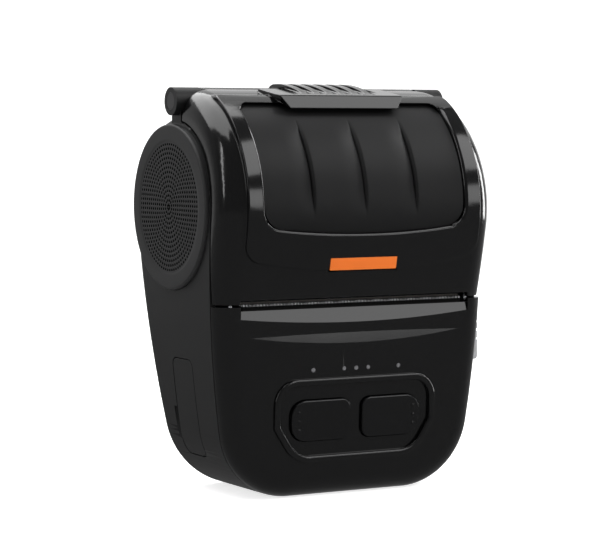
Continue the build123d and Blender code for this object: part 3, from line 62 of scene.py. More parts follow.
# The photographer's place: well back and a little above, to the printer's left, with a long lens.
# The printer stands on a white sweep that runs up behind it, which the polished shells mirror too.
bpy.ops.object.select_all(action="DESELECT")
bpy.ops.object.camera_add(location=(-0.3618, -0.6360, 0.1140), rotation=(radians(86.308), 0, radians(-29.256)))
camera = bpy.context.object
camera.name = "camera"
camera.data.lens = 136.82
camera.data.sensor_width = 36
camera.data.clip_start = 0.05
scene.camera = camera

bpy.ops.object.select_all(action="DESELECT")
bpy.ops.mesh.primitive_grid_add(x_subdivisions=1, y_subdivisions=40, size=1, location=(0, 0, 0))
sweep = bpy.context.object
sweep.name = "white_sweep"
for corner in sweep.data.vertices:
    across, along = corner.co.x, corner.co.y
    corner.co.x = across * 6
    corner.co.y = min(along * 4 + 0.2, 1.2)
    corner.co.z = max(0, (along * 4 - 1.0)) * 3
bpy.ops.object.shade_smooth()
sweep_paint = bpy.data.materials.new("white_paper")
sweep_paint.use_nodes = True
nodes, links = sweep_paint.node_tree.nodes, sweep_paint.node_tree.links
paper = nodes["Principled BSDF"]
paper.inputs["Base Color"].default_value = (0.75, 0.75, 0.75, 1)
paper.inputs["Roughness"].default_value = 0.9
glow = nodes.new("ShaderNodeEmission")
glow.inputs["Color"].default_value = (1, 1, 1, 1)
glow.inputs["Strength"].default_value = 0.75
seen = nodes.new("ShaderNodeLightPath")
place = nodes.new("ShaderNodeTexCoord")
slant = nodes.new("ShaderNodeVectorMath")
slant.operation = "DOT_PRODUCT"
slant.inputs[1].default_value = (0.5, 1, 0)
behind = nodes.new("ShaderNodeMapRange")
behind.inputs["From Min"].default_value = 0.3
behind.inputs["From Max"].default_value = 1.5
behind.inputs["To Min"].default_value = 0.3
backdrop_glow = nodes.new("ShaderNodeEmission")
mirrored = nodes.new("ShaderNodeMath")
mirrored.operation = "ADD"
mirrored.use_clamp = True
in_shells = nodes.new("ShaderNodeMixShader")
both = nodes.new("ShaderNodeAddShader")
only_seen = nodes.new("ShaderNodeMixShader")
links.new(place.outputs["Object"], slant.inputs[0])
links.new(slant.outputs["Value"], behind.inputs["Value"])
links.new(behind.outputs["Result"], backdrop_glow.inputs["Strength"])
links.new(seen.outputs["Is Glossy Ray"], mirrored.inputs[0])
links.new(seen.outputs["Is Transmission Ray"], mirrored.inputs[1])
links.new(mirrored.outputs[0], in_shells.inputs[0])
links.new(paper.outputs[0], in_shells.inputs[1])
links.new(backdrop_glow.outputs[0], in_shells.inputs[2])
links.new(paper.outputs[0], both.inputs[0])
links.new(glow.outputs[0], both.inputs[1])
links.new(seen.outputs["Is Camera Ray"], only_seen.inputs[0])
links.new(in_shells.outputs[0], only_seen.inputs[1])
links.new(both.outputs[0], only_seen.inputs[2])
links.new(only_seen.outputs[0], nodes["Material Output"].inputs["Surface"])
sweep.data.materials.append(sweep_paint)


# Studio light: a large soft box overhead and a little behind, a soft box above and in front, a low box in
# front, a tall strip at each side that draws the long highlights down the polished shells, and a dim plain room.
def soft_box(name, place, aim, width, height, power):
    """A rectangular lamp that faces a point."""
    bpy.ops.object.select_all(action="DESELECT")
    bpy.ops.object.light_add(type="AREA", location=place)
    lamp = bpy.context.object
    lamp.name = name
    lamp.data.shape = "RECTANGLE"
    lamp.data.size = width
    lamp.data.size_y = height
    lamp.data.energy = power
    lamp.rotation_euler = (Vector(aim) - Vector(place)).to_track_quat("-Z", "Y").to_euler()
    return lamp


soft_box("over_box", (-0.15, 0.32, 1.0), (0, 0, 0.1), 1.2, 1.1, 17)
soft_box("front_top_box", (0.48, -0.60, 0.76), (0, 0, 0.1), 0.6, 0.5, 4)
soft_box("front_low_box", (0.52, -0.90, 0.24), (0, 0, 0.06), 0.5, 0.26, 1.6)
soft_box("left_strip", (-1.0, -0.05, 0.55), (0, 0, 0.07), 0.12, 0.7, 2)
soft_box("right_strip", (0.75, -0.02, 0.15), (0, 0, 0.07), 0.16, 1.4, 9)
room = bpy.data.worlds.new("room")
room.use_nodes = True
nodes, links = room.node_tree.nodes, room.node_tree.links
dim = nodes["Background"]
dim.inputs["Color"].default_value = (0.5, 0.5, 0.5, 1)
dim.inputs["Strength"].default_value = 0.4
white = nodes.new("ShaderNodeBackground")
white.inputs["Color"].default_value = (1, 1, 1, 1)
room_seen = nodes.new("ShaderNodeLightPath")
backdrop = nodes.new("ShaderNodeMixShader")
links.new(room_seen.outputs["Is Camera Ray"], backdrop.inputs[0])
links.new(dim.outputs[0], backdrop.inputs[1])
links.new(white.outputs[0], backdrop.inputs[2])
links.new(backdrop.outputs[0], nodes["World Output"].inputs["Surface"])
scene.world = room
scene.view_settings.view_transform = "Standard"


# Rear housing: the shell of the back, the sides and the floor, moulded in black plastic with a
# fine spark-eroded grain. Everything else is fixed to it, with screws and clips.
def clean_copy(node, name, round_by=0.0, sharp=30, merge=False):
    """A node's own shape with its triangles joined, its edges rounded and its faces shaded evenly."""
    bpy.ops.object.select_all(action="DESELECT")
    source = frame["nodes"][node]
    bpy.context.view_layer.objects.active = source
    source.select_set(True)
    bpy.ops.object.duplicate(linked=False)
    piece = bpy.context.object
    piece.name = name
    piece.data.name = name
    bpy.ops.object.parent_clear(type="CLEAR_KEEP_TRANSFORM")
    bpy.ops.object.mode_set(mode="EDIT")
    bpy.ops.mesh.select_all(action="SELECT")
    bpy.ops.mesh.remove_doubles(threshold=0.000002)
    if round_by or merge:
        bpy.ops.mesh.dissolve_limited(angle_limit=radians(0.5))
    bpy.ops.object.mode_set(mode="OBJECT")
    if round_by:
        round_edges(piece, round_by, sharp)
    else:
        keep_flats(piece)
    shade_evenly(piece, sharp)
    piece.data.materials.clear()
    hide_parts(node)
    return piece


def round_edges(piece, width, sharp):
    """Every sharp edge gets a small radius, as a mould gives it."""
    bpy.ops.object.modifier_add(type="BEVEL")
    soften = piece.modifiers[-1]
    soften.width = width
    soften.segments = 3
    soften.limit_method = "ANGLE"
    soften.angle_limit = radians(sharp)
    soften.use_clamp_overlap = False
    bpy.ops.object.modifier_apply(modifier=soften.name)


def pick(piece, kind, test):
    """Selects a piece's faces or edges by a test, and leaves it in edit mode."""
    bpy.ops.object.mode_set(mode="EDIT")
    bpy.ops.mesh.select_mode(type=kind)
    bpy.ops.mesh.select_all(action="DESELECT")
    bpy.ops.object.mode_set(mode="OBJECT")
    for part in piece.data.polygons if kind == "FACE" else piece.data.edges:
        part.select = test(part)
    bpy.ops.object.mode_set(mode="EDIT")


def keep_flats(piece, least_area=0.000004):
    """Wide flat faces end in a crisp line, so that the round faces beside them don't bend their shine."""
    faces = piece.data.polygons
    beside = {}
    for face in faces:
        for pair in face.edge_keys:
            beside.setdefault(pair, []).append(face.index)
    flat = list(range(len(faces)))

    def root(number):
        while flat[number] != number:
            flat[number] = flat[flat[number]]
            number = flat[number]
        return number

    for near in beside.values():
        if len(near) != 2:
            continue
        first, second = faces[near[0]], faces[near[1]]
        if first.normal.dot(second.normal) > 0.999999 or min(first.area, second.area) < 0.000000002:
            flat[root(near[0])] = root(near[1])
    areas = {}
    for face in faces:
        areas[root(face.index)] = areas.get(root(face.index), 0) + face.area
    crisp = {
        pair for pair, near in beside.items()
        if len({root(number) for number in near}) == 2 and max(areas[root(number)] for number in near) > least_area
    }
    pick(piece, "EDGE", lambda edge: edge.key in crisp)
    bpy.ops.mesh.mark_sharp()
    bpy.ops.object.mode_set(mode="OBJECT")


def shade_evenly(piece, sharp):
    """Round faces shade smoothly, and long thin faces don't streak."""
    bpy.ops.object.shade_smooth_by_angle(angle=radians(sharp))
    bpy.ops.object.modifier_add(type="WEIGHTED_NORMAL")
    even = piece.modifiers[-1]
    even.keep_sharp = True
    bpy.ops.object.modifier_apply(modifier=even.name)


def plastic(name, colour, roughness, grain, depth, shine=0.5):
    """Moulded plastic: a colour that wanders a little, a grain of a size in metres, and faint wear."""
    made = bpy.data.materials.new(name)
    made.use_nodes = True
    nodes, links = made.node_tree.nodes, made.node_tree.links
    skin = nodes["Principled BSDF"]
    place = nodes.new("ShaderNodeTexCoord")
    fine = nodes.new("ShaderNodeTexNoise")
    fine.inputs["Scale"].default_value = 1 / grain
    fine.inputs["Detail"].default_value = 3
    broad = nodes.new("ShaderNodeTexNoise")
    broad.inputs["Scale"].default_value = 45
    broad.inputs["Detail"].default_value = 4
    tint = nodes.new("ShaderNodeMix")
    tint.data_type = "RGBA"
    tint.inputs["A"].default_value = (*[c * 0.88 for c in colour], 1)
    tint.inputs["B"].default_value = (*[min(1, c * 1.14) for c in colour], 1)
    rough = nodes.new("ShaderNodeMapRange")
    rough.inputs["To Min"].default_value = roughness * 0.9
    rough.inputs["To Max"].default_value = min(1, roughness * 1.12)
    bump = nodes.new("ShaderNodeBump")
    bump.name = "grain_bump"
    bump.inputs["Distance"].default_value = depth
    bump.inputs["Strength"].default_value = 0.6
    links.new(place.outputs["Object"], fine.inputs["Vector"])
    links.new(place.outputs["Object"], broad.inputs["Vector"])
    links.new(broad.outputs["Fac"], tint.inputs["Factor"])
    links.new(tint.outputs["Result"], skin.inputs["Base Color"])
    links.new(broad.outputs["Fac"], rough.inputs["Value"])
    links.new(rough.outputs["Result"], skin.inputs["Roughness"])
    links.new(fine.outputs["Fac"], bump.inputs["Height"])
    links.new(bump.outputs["Normal"], skin.inputs["Normal"])
    skin.inputs["Specular IOR Level"].default_value = shine
    return made


def fit(piece, paint, body):
    """A finished piece gets its paint and the body it moves with."""
    piece.data.materials.append(paint)
    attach(piece, body)


matt_black = plastic("matt_black", (0.010, 0.010, 0.0103), 0.45, 0.00035, 0.00003, 0.2)
housing = clean_copy("rear_housing", "housing_shell", merge=True)
fit(housing, matt_black, "base")


# Paper bay and its sensor: a thin dark trough that the roll lies in, snapped between the housing's
# sides, with a small optical sensor under it and a flat tag coil on ferrite at its left end.
def dress(paint, *names):
    """A node whose shape is right keeps it, and gets its paint."""
    for name in names:
        part = frame["nodes"][name]
        for holder in part.material_slots:
            holder.material = paint


inner_black = plastic("inner_black", (0.030, 0.030, 0.032), 0.6, 0.0006, 0.00002)
component_black = plastic("component_black", (0.018, 0.018, 0.018), 0.45, 0.0003, 0.00001)
dress(inner_black, "paper_bay")
dress(component_black, "paper_sensor")


def ringed(name, ground, line, centre, pitch):
    """A printed spiral: lines in even rings about a place in the side view."""
    made = bpy.data.materials.new(name)
    made.use_nodes = True
    nodes, links = made.node_tree.nodes, made.node_tree.links
    skin = nodes["Principled BSDF"]
    place = nodes.new("ShaderNodeTexCoord")
    centred = nodes.new("ShaderNodeMapping")
    centred.inputs["Location"].default_value = (0, -centre[0], -centre[1])
    centred.inputs["Scale"].default_value = (0, 1, 1)
    far = nodes.new("ShaderNodeVectorMath")
    far.operation = "LENGTH"
    turns = nodes.new("ShaderNodeMath")
    turns.operation = "PINGPONG"
    turns.inputs[1].default_value = pitch / 2
    edge = nodes.new("ShaderNodeMapRange")
    edge.inputs["From Min"].default_value = pitch * 0.20
    edge.inputs["From Max"].default_value = pitch * 0.30
    mix = nodes.new("ShaderNodeMix")
    mix.data_type = "RGBA"
    mix.inputs["A"].default_value = (*ground, 1)
    mix.inputs["B"].default_value = (*line, 1)
    bump = nodes.new("ShaderNodeBump")
    bump.inputs["Distance"].default_value = 0.00004
    links.new(place.outputs["Object"], centred.inputs["Vector"])
    links.new(centred.outputs["Vector"], far.inputs[0])
    links.new(far.outputs["Value"], turns.inputs[0])
    links.new(turns.outputs[0], edge.inputs["Value"])
    links.new(edge.outputs["Result"], mix.inputs["Factor"])
    links.new(mix.outputs["Result"], skin.inputs["Base Color"])
    links.new(edge.outputs["Result"], bump.inputs["Height"])
    links.new(bump.outputs["Normal"], skin.inputs["Normal"])
    skin.inputs["Roughness"].default_value = 0.45
    return made


coil_low, coil_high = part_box("tag_antenna")
coil_centre = ((coil_low[1] + coil_high[1]) / 2, (coil_low[2] + coil_high[2]) / 2)
dress(ringed("tag_coil", (0.06, 0.055, 0.05), (0.55, 0.27, 0.12), coil_centre, 0.0009), "tag_antenna")


# Main board: green solder-masked board on four posts behind the mechanism, with the sockets, the
# buzzer and the shielded radio module soldered to it, and the flat cable that feeds the print head.
def circuit_board(name, mask, trace):
    """Solder mask over copper: straight tracks of a second green that stand up a little."""
    made = bpy.data.materials.new(name)
    made.use_nodes = True
    nodes, links = made.node_tree.nodes, made.node_tree.links
    skin = nodes["Principled BSDF"]
    place = nodes.new("ShaderNodeTexCoord")
    turned = nodes.new("ShaderNodeMapping")
    turned.inputs["Rotation"].default_value = (radians(90), 0, 0)
    tracks = nodes.new("ShaderNodeTexBrick")
    tracks.inputs["Scale"].default_value = 160
    tracks.inputs["Mortar Size"].default_value = 0.03
    tracks.inputs["Brick Width"].default_value = 1.7
    tracks.inputs["Row Height"].default_value = 0.22
    tracks.inputs["Color1"].default_value = (*mask, 1)
    tracks.inputs["Color2"].default_value = (*[c * 0.8 for c in mask], 1)
    tracks.inputs["Mortar"].default_value = (*trace, 1)
    bump = nodes.new("ShaderNodeBump")
    bump.inputs["Distance"].default_value = 0.00003
    links.new(place.outputs["Object"], turned.inputs["Vector"])
    links.new(turned.outputs["Vector"], tracks.inputs["Vector"])
    links.new(tracks.outputs["Color"], skin.inputs["Base Color"])
    links.new(tracks.outputs["Fac"], bump.inputs["Height"])
    links.new(bump.outputs["Normal"], skin.inputs["Normal"])
    skin.inputs["Roughness"].default_value = 0.3
    return made


def metal(name, colour, roughness, along, grain=0.0004):
    """Drawn or ground metal: fine lines along one direction, in its gloss and its surface."""
    made = bpy.data.materials.new(name)
    made.use_nodes = True
    nodes, links = made.node_tree.nodes, made.node_tree.links
    skin = nodes["Principled BSDF"]
    skin.inputs["Metallic"].default_value = 1
    place = nodes.new("ShaderNodeTexCoord")
    drawn = nodes.new("ShaderNodeMapping")
    drawn.inputs["Scale"].default_value = [0.03 if axis in along else 1 for axis in "XYZ"]
    lines = nodes.new("ShaderNodeTexNoise")
    lines.inputs["Scale"].default_value = 1 / grain
    lines.inputs["Detail"].default_value = 4
    tint = nodes.new("ShaderNodeMix")
    tint.data_type = "RGBA"
    tint.inputs["A"].default_value = (*[c * 0.85 for c in colour], 1)
    tint.inputs["B"].default_value = (*[min(1, c * 1.1) for c in colour], 1)
    rough = nodes.new("ShaderNodeMapRange")
    rough.inputs["To Min"].default_value = roughness * 0.75
    rough.inputs["To Max"].default_value = roughness * 1.3
    bump = nodes.new("ShaderNodeBump")
    bump.inputs["Distance"].default_value = 0.000006
    links.new(place.outputs["Object"], drawn.inputs["Vector"])
    links.new(drawn.outputs["Vector"], lines.inputs["Vector"])
    links.new(lines.outputs["Fac"], tint.inputs["Factor"])
    links.new(tint.outputs["Result"], skin.inputs["Base Color"])
    links.new(lines.outputs["Fac"], rough.inputs["Value"])
    links.new(rough.outputs["Result"], skin.inputs["Roughness"])
    links.new(lines.outputs["Fac"], bump.inputs["Height"])
    links.new(bump.outputs["Normal"], skin.inputs["Normal"])
    return made


board_green = circuit_board("board_green", (0.012, 0.10, 0.045), (0.03, 0.20, 0.08))
bright_steel = metal("bright_steel", (0.60, 0.60, 0.62), 0.28, "X")
zinc_sheet = metal("zinc_sheet", (0.50, 0.51, 0.53), 0.38, "", 0.003)
plated_brass = metal("plated_brass", (0.72, 0.53, 0.24), 0.3, "Z")
dress(board_green, "main_board", "panel_board")
dress(component_black, "dc_jack", "head_socket", "buzzer", "tact_switches")
dress(zinc_sheet, "usb_socket", "radio_module")
dress(bright_steel, "board_screws", "panel_board_screws", "mech_screws", "case_screws", "cover_screws")
dress(plated_brass, "battery_contacts")


def striped_film(name, film, copper, pitch):
    """Flat flexible cable: copper lines side by side in a clear brown film."""
    made = bpy.data.materials.new(name)
    made.use_nodes = True
    nodes, links = made.node_tree.nodes, made.node_tree.links
    skin = nodes["Principled BSDF"]
    place = nodes.new("ShaderNodeTexCoord")
    apart = nodes.new("ShaderNodeSeparateXYZ")
    lines = nodes.new("ShaderNodeMath")
    lines.operation = "PINGPONG"
    lines.inputs[1].default_value = pitch / 2
    edge = nodes.new("ShaderNodeMapRange")
    edge.inputs["From Min"].default_value = pitch * 0.18
    edge.inputs["From Max"].default_value = pitch * 0.28
    mix = nodes.new("ShaderNodeMix")
    mix.data_type = "RGBA"
    mix.inputs["A"].default_value = (*film, 1)
    mix.inputs["B"].default_value = (*copper, 1)
    links.new(place.outputs["Object"], apart.inputs[0])
    links.new(apart.outputs["X"], lines.inputs[0])
    links.new(lines.outputs[0], edge.inputs["Value"])
    links.new(edge.outputs["Result"], mix.inputs["Factor"])
    links.new(mix.outputs["Result"], skin.inputs["Base Color"])
    skin.inputs["Roughness"].default_value = 0.25
    return made


dress(striped_film("flat_cable", (0.30, 0.16, 0.05), (0.70, 0.42, 0.16), 0.001), "head_cable")


# Print mechanism: a bent zinc-plated frame that carries the stepper motor, the gears, the thermal
# head on its aluminium carrier, and the latch that holds the platen's shaft in its two hooks.
acetal = plastic("natural_acetal", (0.74, 0.73, 0.69), 0.35, 0.0008, 0.00001)
glazed = plastic("glazed_ceramic", (0.030, 0.026, 0.022), 0.12, 0.0009, 0.000003)
extruded = metal("extruded_aluminium", (0.72, 0.73, 0.75), 0.35, "X")
dress(zinc_sheet, "mech_frame", "stepper_motor", "left_latch_hook", "right_latch_hook", "latch_crank")
dress(bright_steel, "idler_post", "motor_shaft", "latch_shaft")
dress(acetal, "idler_gear", "platen_gear")
dress(plated_brass, "motor_pinion")
dress(glazed, "print_head")
dress(extruded, "head_heatsink")


def coil(name, node, axis, wire, turns):
    """Wound steel wire that fills the place of a spring's plain sleeve."""
    low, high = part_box(node) if isinstance(node, str) else node
    middle = [(a + b) / 2 for a, b in zip(low, high)]
    length = high["XYZ".index(axis)] - low["XYZ".index(axis)]
    side = min(b - a for a, b in zip(low, high))
    bpy.ops.object.select_all(action="DESELECT")
    bpy.ops.mesh.primitive_circle_add(
        vertices=10, radius=wire, location=(side / 2 - wire, 0, 0), rotation=(radians(90), 0, 0)
    )
    piece = bpy.context.object
    piece.name = name
    piece.data.name = name
    bpy.ops.object.transform_apply(location=True, rotation=True, scale=True)
    bpy.ops.object.modifier_add(type="SCREW")
    wind = piece.modifiers[-1]
    wind.axis = "Z"
    wind.angle = 2 * pi
    wind.screw_offset = (length - 2 * wire) / turns
    wind.iterations = turns
    wind.steps = 20
    wind.render_steps = 20
    bpy.ops.object.modifier_apply(modifier=wind.name)
    bpy.ops.object.mode_set(mode="EDIT")
    bpy.ops.mesh.select_all(action="DESELECT")
    bpy.ops.mesh.select_mode(type="EDGE")
    bpy.ops.mesh.select_non_manifold()
    bpy.ops.mesh.edge_face_add()
    bpy.ops.mesh.select_all(action="SELECT")
    bpy.ops.mesh.normals_make_consistent(inside=False)
    bpy.ops.transform.translate(value=(0, 0, wire - length / 2))
    bpy.ops.object.mode_set(mode="OBJECT")
    if axis == "X":
        piece.rotation_euler = (0, radians(90), 0)
    piece.location = middle
    bpy.ops.object.transform_apply(location=True, rotation=True, scale=True)
    bpy.ops.object.shade_smooth()
    return piece


spring_low, spring_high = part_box("head_springs")
head_coils = []
for side, first in (("left", spring_low[0]), ("right", spring_high[0] - (spring_high[1] - spring_low[1]))):
    width = spring_high[1] - spring_low[1]
    room_low = (first, spring_low[1], spring_low[2])
    room_high = (first + width, spring_high[1], spring_high[2])
    head_coil = coil(side + "_head_coil", (room_low, room_high), "Z", 0.0003, 6)
    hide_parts("head_springs")
    fit(head_coil, bright_steel, "base")

latch_coil = coil("latch_coil", "latch_spring", "X", 0.00035, 7)
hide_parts("latch_spring")
fit(latch_coil, bright_steel, "base")


# Open lever: a satin light-grey slider in a recess of the right side, with grip notches across it.
# Its stem lifts the latch's crank inside.
lever_grey = plastic("lever_grey", (0.40, 0.40, 0.41), 0.4, 0.0004, 0.00001)
lever = clean_copy("open_lever", "open_slider", 0.0002)
for corner in lever.data.vertices:
    if corner.co.x > 0.0465:
        corner.co.x += 0.00025 + 0.076 * (0.0596 - corner.co.z)
fit(lever, lever_grey, "lever")


# Front panel: the lower front shell in polished black plastic. Its leaning facet under the slot,
# the crescent below that and the ridge round the buttons are moulded in one piece with it.
piano_black = plastic("piano_black", (0.003, 0.003, 0.0032), 0.13, 0.006, 0.000003, 0.36)
def keep_crisp(piece, least, where):
    """Shallow edges in a place stay crisp, where smooth shading would blur them away."""
    bpy.ops.object.mode_set(mode="EDIT")
    bpy.ops.mesh.select_mode(type="EDGE")
    bpy.ops.mesh.select_all(action="DESELECT")
    bpy.ops.mesh.edges_select_sharp(sharpness=radians(least))
    bpy.ops.object.mode_set(mode="OBJECT")
    corners = piece.data.vertices
    for edge in piece.data.edges:
        edge.select = edge.select and all(where(corners[number].co) for number in edge.vertices)
    bpy.ops.object.mode_set(mode="EDIT")
    bpy.ops.mesh.mark_sharp()
    bpy.ops.object.mode_set(mode="OBJECT")


def by_facets(place):
    return place.y < -0.024 and 0.0470 < place.z < 0.0605 and abs(place.x) < 0.0415


def lean_crescent(piece, half=0.0375, low=0.0479, rise=0.0028, slope=0.095):
    """The crescent's floor leans back from its lower arc, so that it catches the light."""
    corners = piece.data.vertices
    floor = set()
    for face in piece.data.polygons:
        if face.normal.y < -0.99 and abs(face.normal.z + 0.01) < 0.008 and low < face.center.z < 0.0515:
            floor.update(face.vertices)
    for number in floor:
        place = corners[number].co
        height = place.z - low - rise * (place.x / half) ** 2
        if height > 0.0004:
            place.y += slope * height


panel = clean_copy("front_panel", "panel_shell")
keep_crisp(panel, 3, by_facets)
lean_crescent(panel)
shade_evenly(panel, 30)
fit(panel, piano_black, "base")


# Light pipes: five clear guides that end in small round lenses above the buttons, each over its
# own light on the panel's board.
clear_guide = plastic("clear_guide", (0.22, 0.22, 0.23), 0.15, 0.002, 0.000004)
clear_guide.node_tree.nodes["Principled BSDF"].inputs["Transmission Weight"].default_value = 0.35
lamp_white = plastic("lamp_white", (0.65, 0.64, 0.58), 0.3, 0.001, 0.000004)
dress(clear_guide, "light_guides")
dress(lamp_white, "status_leds")


# Power and feed buttons: polished keys with thin rounded edges, in holes of the front panel. Three
# moulded points near each outer end are there to be felt.
key_black = plastic("key_black", (0.0035, 0.0035, 0.0038), 0.18, 0.006, 0.000003, 0.3)


def feel_points(name, places, size):
    """Small raised domes on a leaning face, modelled once and copied along a row."""
    domes = []
    for place in places:
        bpy.ops.object.select_all(action="DESELECT")
        if not domes:
            bpy.ops.mesh.primitive_uv_sphere_add(segments=12, ring_count=6, radius=size, location=(0, 0, 0))
            bpy.ops.object.mode_set(mode="EDIT")
            bpy.ops.mesh.select_all(action="SELECT")
            bpy.ops.transform.resize(value=(1, 0.5, 1))
            bpy.ops.mesh.bisect(plane_co=(0, size * 0.1, 0), plane_no=(0, 1, 0), clear_outer=True, use_fill=True)
            bpy.ops.object.mode_set(mode="OBJECT")
            bpy.ops.object.shade_smooth()
        else:
            bpy.context.view_layer.objects.active = domes[0]
            domes[0].select_set(True)
            bpy.ops.object.duplicate(linked=False)
        dome = bpy.context.object
        dome.location = place
        domes.append(dome)
    bpy.ops.object.select_all(action="DESELECT")
    for dome in domes:
        dome.select_set(True)
    bpy.context.view_layer.objects.active = domes[0]
    bpy.ops.object.join()
    row = bpy.context.object
    row.name = name
    row.data.name = name
    bpy.ops.object.transform_apply(location=True, rotation=True, scale=True)
    return row


for node, body, side in (("power_button", "power_key", -1), ("feed_button", "feed_key", 1)):
    key = clean_copy(node, node + "_cap", 0.0002)
    fit(key, key_black, body)
    low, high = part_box(node)
    outer = (low[0] if side < 0 else high[0]) - side * 0.0033
    face_y = low[1] + 0.00018
    points = [(outer, face_y - step * 0.04, 0.0242 + step) for step in (-0.0028, 0, 0.0028)]
    fit(feel_points(node + "_points", points, 0.00045), key_black, body)


# Tear bar: a strip of hardened steel with fine teeth, held in the slot's lower edge.
def steel_shaded_below_teeth(name, colour, lit_above, pitch):
    """Steel with painted shade, dark below a height and between the teeth where the slot's recess shades it; the
    teeth above keep the steel's bright colour, at an even pitch.
    """
    made = metal(name, colour, 0.3, "Z", 0.0003)
    nodes, links = made.node_tree.nodes, made.node_tree.links
    skin = nodes["Principled BSDF"]
    place = nodes.new("ShaderNodeTexCoord")
    apart = nodes.new("ShaderNodeSeparateXYZ")
    lit_band = nodes.new("ShaderNodeMapRange")
    lit_band.inputs["From Min"].default_value = lit_above - 0.0001
    lit_band.inputs["From Max"].default_value = lit_above + 0.0001
    tooth = nodes.new("ShaderNodeMath")
    tooth.operation = "PINGPONG"
    tooth.inputs[1].default_value = pitch / 2
    tip = nodes.new("ShaderNodeMapRange")
    tip.inputs["From Max"].default_value = pitch / 2
    lit_teeth = nodes.new("ShaderNodeMath")
    lit_teeth.operation = "MULTIPLY"
    painted_shade_mix = nodes.new("ShaderNodeMix")
    painted_shade_mix.data_type = "RGBA"
    # painted shade: near-black colour for the steel below the tooth line and between the teeth, which the slot's
    # recess shades
    painted_shade_mix.inputs["A"].default_value = (0.008, 0.008, 0.008, 1)
    links.new(place.outputs["Object"], apart.inputs[0])
    links.new(apart.outputs["Z"], lit_band.inputs["Value"])
    links.new(apart.outputs["X"], tooth.inputs[0])
    links.new(tooth.outputs[0], tip.inputs["Value"])
    links.new(lit_band.outputs["Result"], lit_teeth.inputs[0])
    links.new(tip.outputs["Result"], lit_teeth.inputs[1])
    links.new(lit_teeth.outputs[0], painted_shade_mix.inputs["Factor"])
    links.new(skin.inputs["Base Color"].links[0].from_socket, painted_shade_mix.inputs["B"])
    links.new(painted_shade_mix.outputs["Result"], skin.inputs["Base Color"])
    return made


tooth_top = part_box("tear_bar")[1][2]
dress(steel_shaded_below_teeth("tooth_steel_painted_shade", (0.75, 0.75, 0.77), tooth_top - 0.0007, 0.0012), "tear_bar")


# Cover: the upper front shell in the same polished plastic, with a raised surround for the window,
# a flared lip over it, and grip ribs that run back to the hinge's knuckle.
def by_window(edge):
    """True for the surround's inner edge, which stands over the window."""
    for number in edge.vertices:
        place = cover.data.vertices[number].co
        if abs(place.x) > 0.0363 or not 0.0817 < place.z < 0.1212:
            return False
        if abs(hypot(place.y - 0.0049, place.z - 0.0899) - 0.0382) > 0.00012 or place.y > 0:
            return False
    return edge.use_edge_sharp


cover = clean_copy("cover_frame", "cover_shell")
bpy.ops.object.mode_set(mode="EDIT")
bpy.ops.mesh.select_all(action="SELECT")
bpy.ops.mesh.mark_sharp(clear=True)
bpy.ops.mesh.dissolve_limited(angle_limit=radians(0.5))
bpy.ops.mesh.select_mode(type="EDGE")
bpy.ops.mesh.select_all(action="DESELECT")
bpy.ops.mesh.edges_select_sharp(sharpness=radians(30))
bpy.ops.mesh.mark_sharp()
pick(cover, "EDGE", by_window)
bpy.ops.mesh.bevel(offset=0.0011, segments=4, affect="EDGES", clamp_overlap=False)
bpy.ops.mesh.select_all(action="SELECT")
bpy.ops.mesh.mark_sharp(clear=True)
bpy.ops.object.mode_set(mode="OBJECT")
round_edges(cover, 0.0004, 30)
shade_evenly(cover, 30)
fit(cover, piano_black, "cover")

liner_black = plastic("liner_black", (0.028, 0.028, 0.03), 0.5, 0.0006, 0.00001)
dress(liner_black, "cover_liner")


# Window: smoked plastic with a satin face, let in from behind. Three soft creases run down it,
# each with a slope on its left and a sharp edge on its right.
window_half = 0.0357
window_corner = 0.006
window_top_corner = 0.003
window_radius = 0.0370
roll_y, roll_z = 0.0049, 0.0899
crease_places = (-0.0183, 0.0002, 0.0186)
crease_depth = 0.0010
crease_slope = 0.0075
crease_cut = 0.0006


def window_low(x):
    """Lower edge of the window at a place across it."""
    edge = 0.0823 + 0.0024 * (x / window_half) ** 2
    beyond = abs(x) - (window_half - window_corner)
    if beyond > 0:
        edge += window_corner - sqrt(max(0, window_corner ** 2 - beyond ** 2))
    return edge


def window_high(x):
    """Upper edge of the window at a place across it."""
    edge = 0.1223
    beyond = abs(x) - (window_half - window_top_corner)
    if beyond > 0:
        edge -= window_top_corner - sqrt(max(0, window_top_corner ** 2 - beyond ** 2))
    return edge


def ease(amount):
    amount = min(1, max(0, amount))
    return amount * amount * (3 - 2 * amount)


def crease_sink(x, z):
    """How deep the window's face lies below its round form."""
    fade = ease((z - 0.0865) / 0.011) * ease((0.1185 - z) / 0.009)
    sink = 0
    for place in crease_places:
        if 0 <= place - x < crease_slope:
            sink = max(sink, crease_depth * (1 - (place - x) / crease_slope) ** 2)
        sink += crease_cut * max(0, 1 - abs(place - x) / 0.0005)
    return sink * fade


bpy.ops.object.select_all(action="DESELECT")
bpy.ops.mesh.primitive_grid_add(x_subdivisions=240, y_subdivisions=90, size=2, location=(0, 0, 0))
window = bpy.context.object
window.name = "smoked_window"
window.data.name = "smoked_window"
for corner in window.data.vertices:
    x = corner.co.x * window_half
    share = (corner.co.y + 1) / 2
    z = window_low(x) + (window_high(x) - window_low(x)) * share
    radius = window_radius - crease_sink(x, z)
    corner.co = (x, roll_y - sqrt(radius ** 2 - (z - roll_z) ** 2), z)
bpy.ops.object.modifier_add(type="SOLIDIFY")
window.modifiers[-1].thickness = 0.0012
window.modifiers[-1].offset = -1
bpy.ops.object.modifier_apply(modifier=window.modifiers[-1].name)
bpy.ops.object.mode_set(mode="EDIT")
bpy.ops.mesh.select_all(action="SELECT")
bpy.ops.mesh.remove_doubles(threshold=0.000001)
bpy.ops.mesh.normals_make_consistent(inside=False)
bpy.ops.object.mode_set(mode="OBJECT")
bpy.ops.object.shade_smooth_by_angle(angle=radians(40))
smoked = plastic("smoked_plastic", (0.009, 0.009, 0.0093), 0.45, 0.0006, 0.000006, 0.12)
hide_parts("cover_window")
fit(window, smoked, "cover")


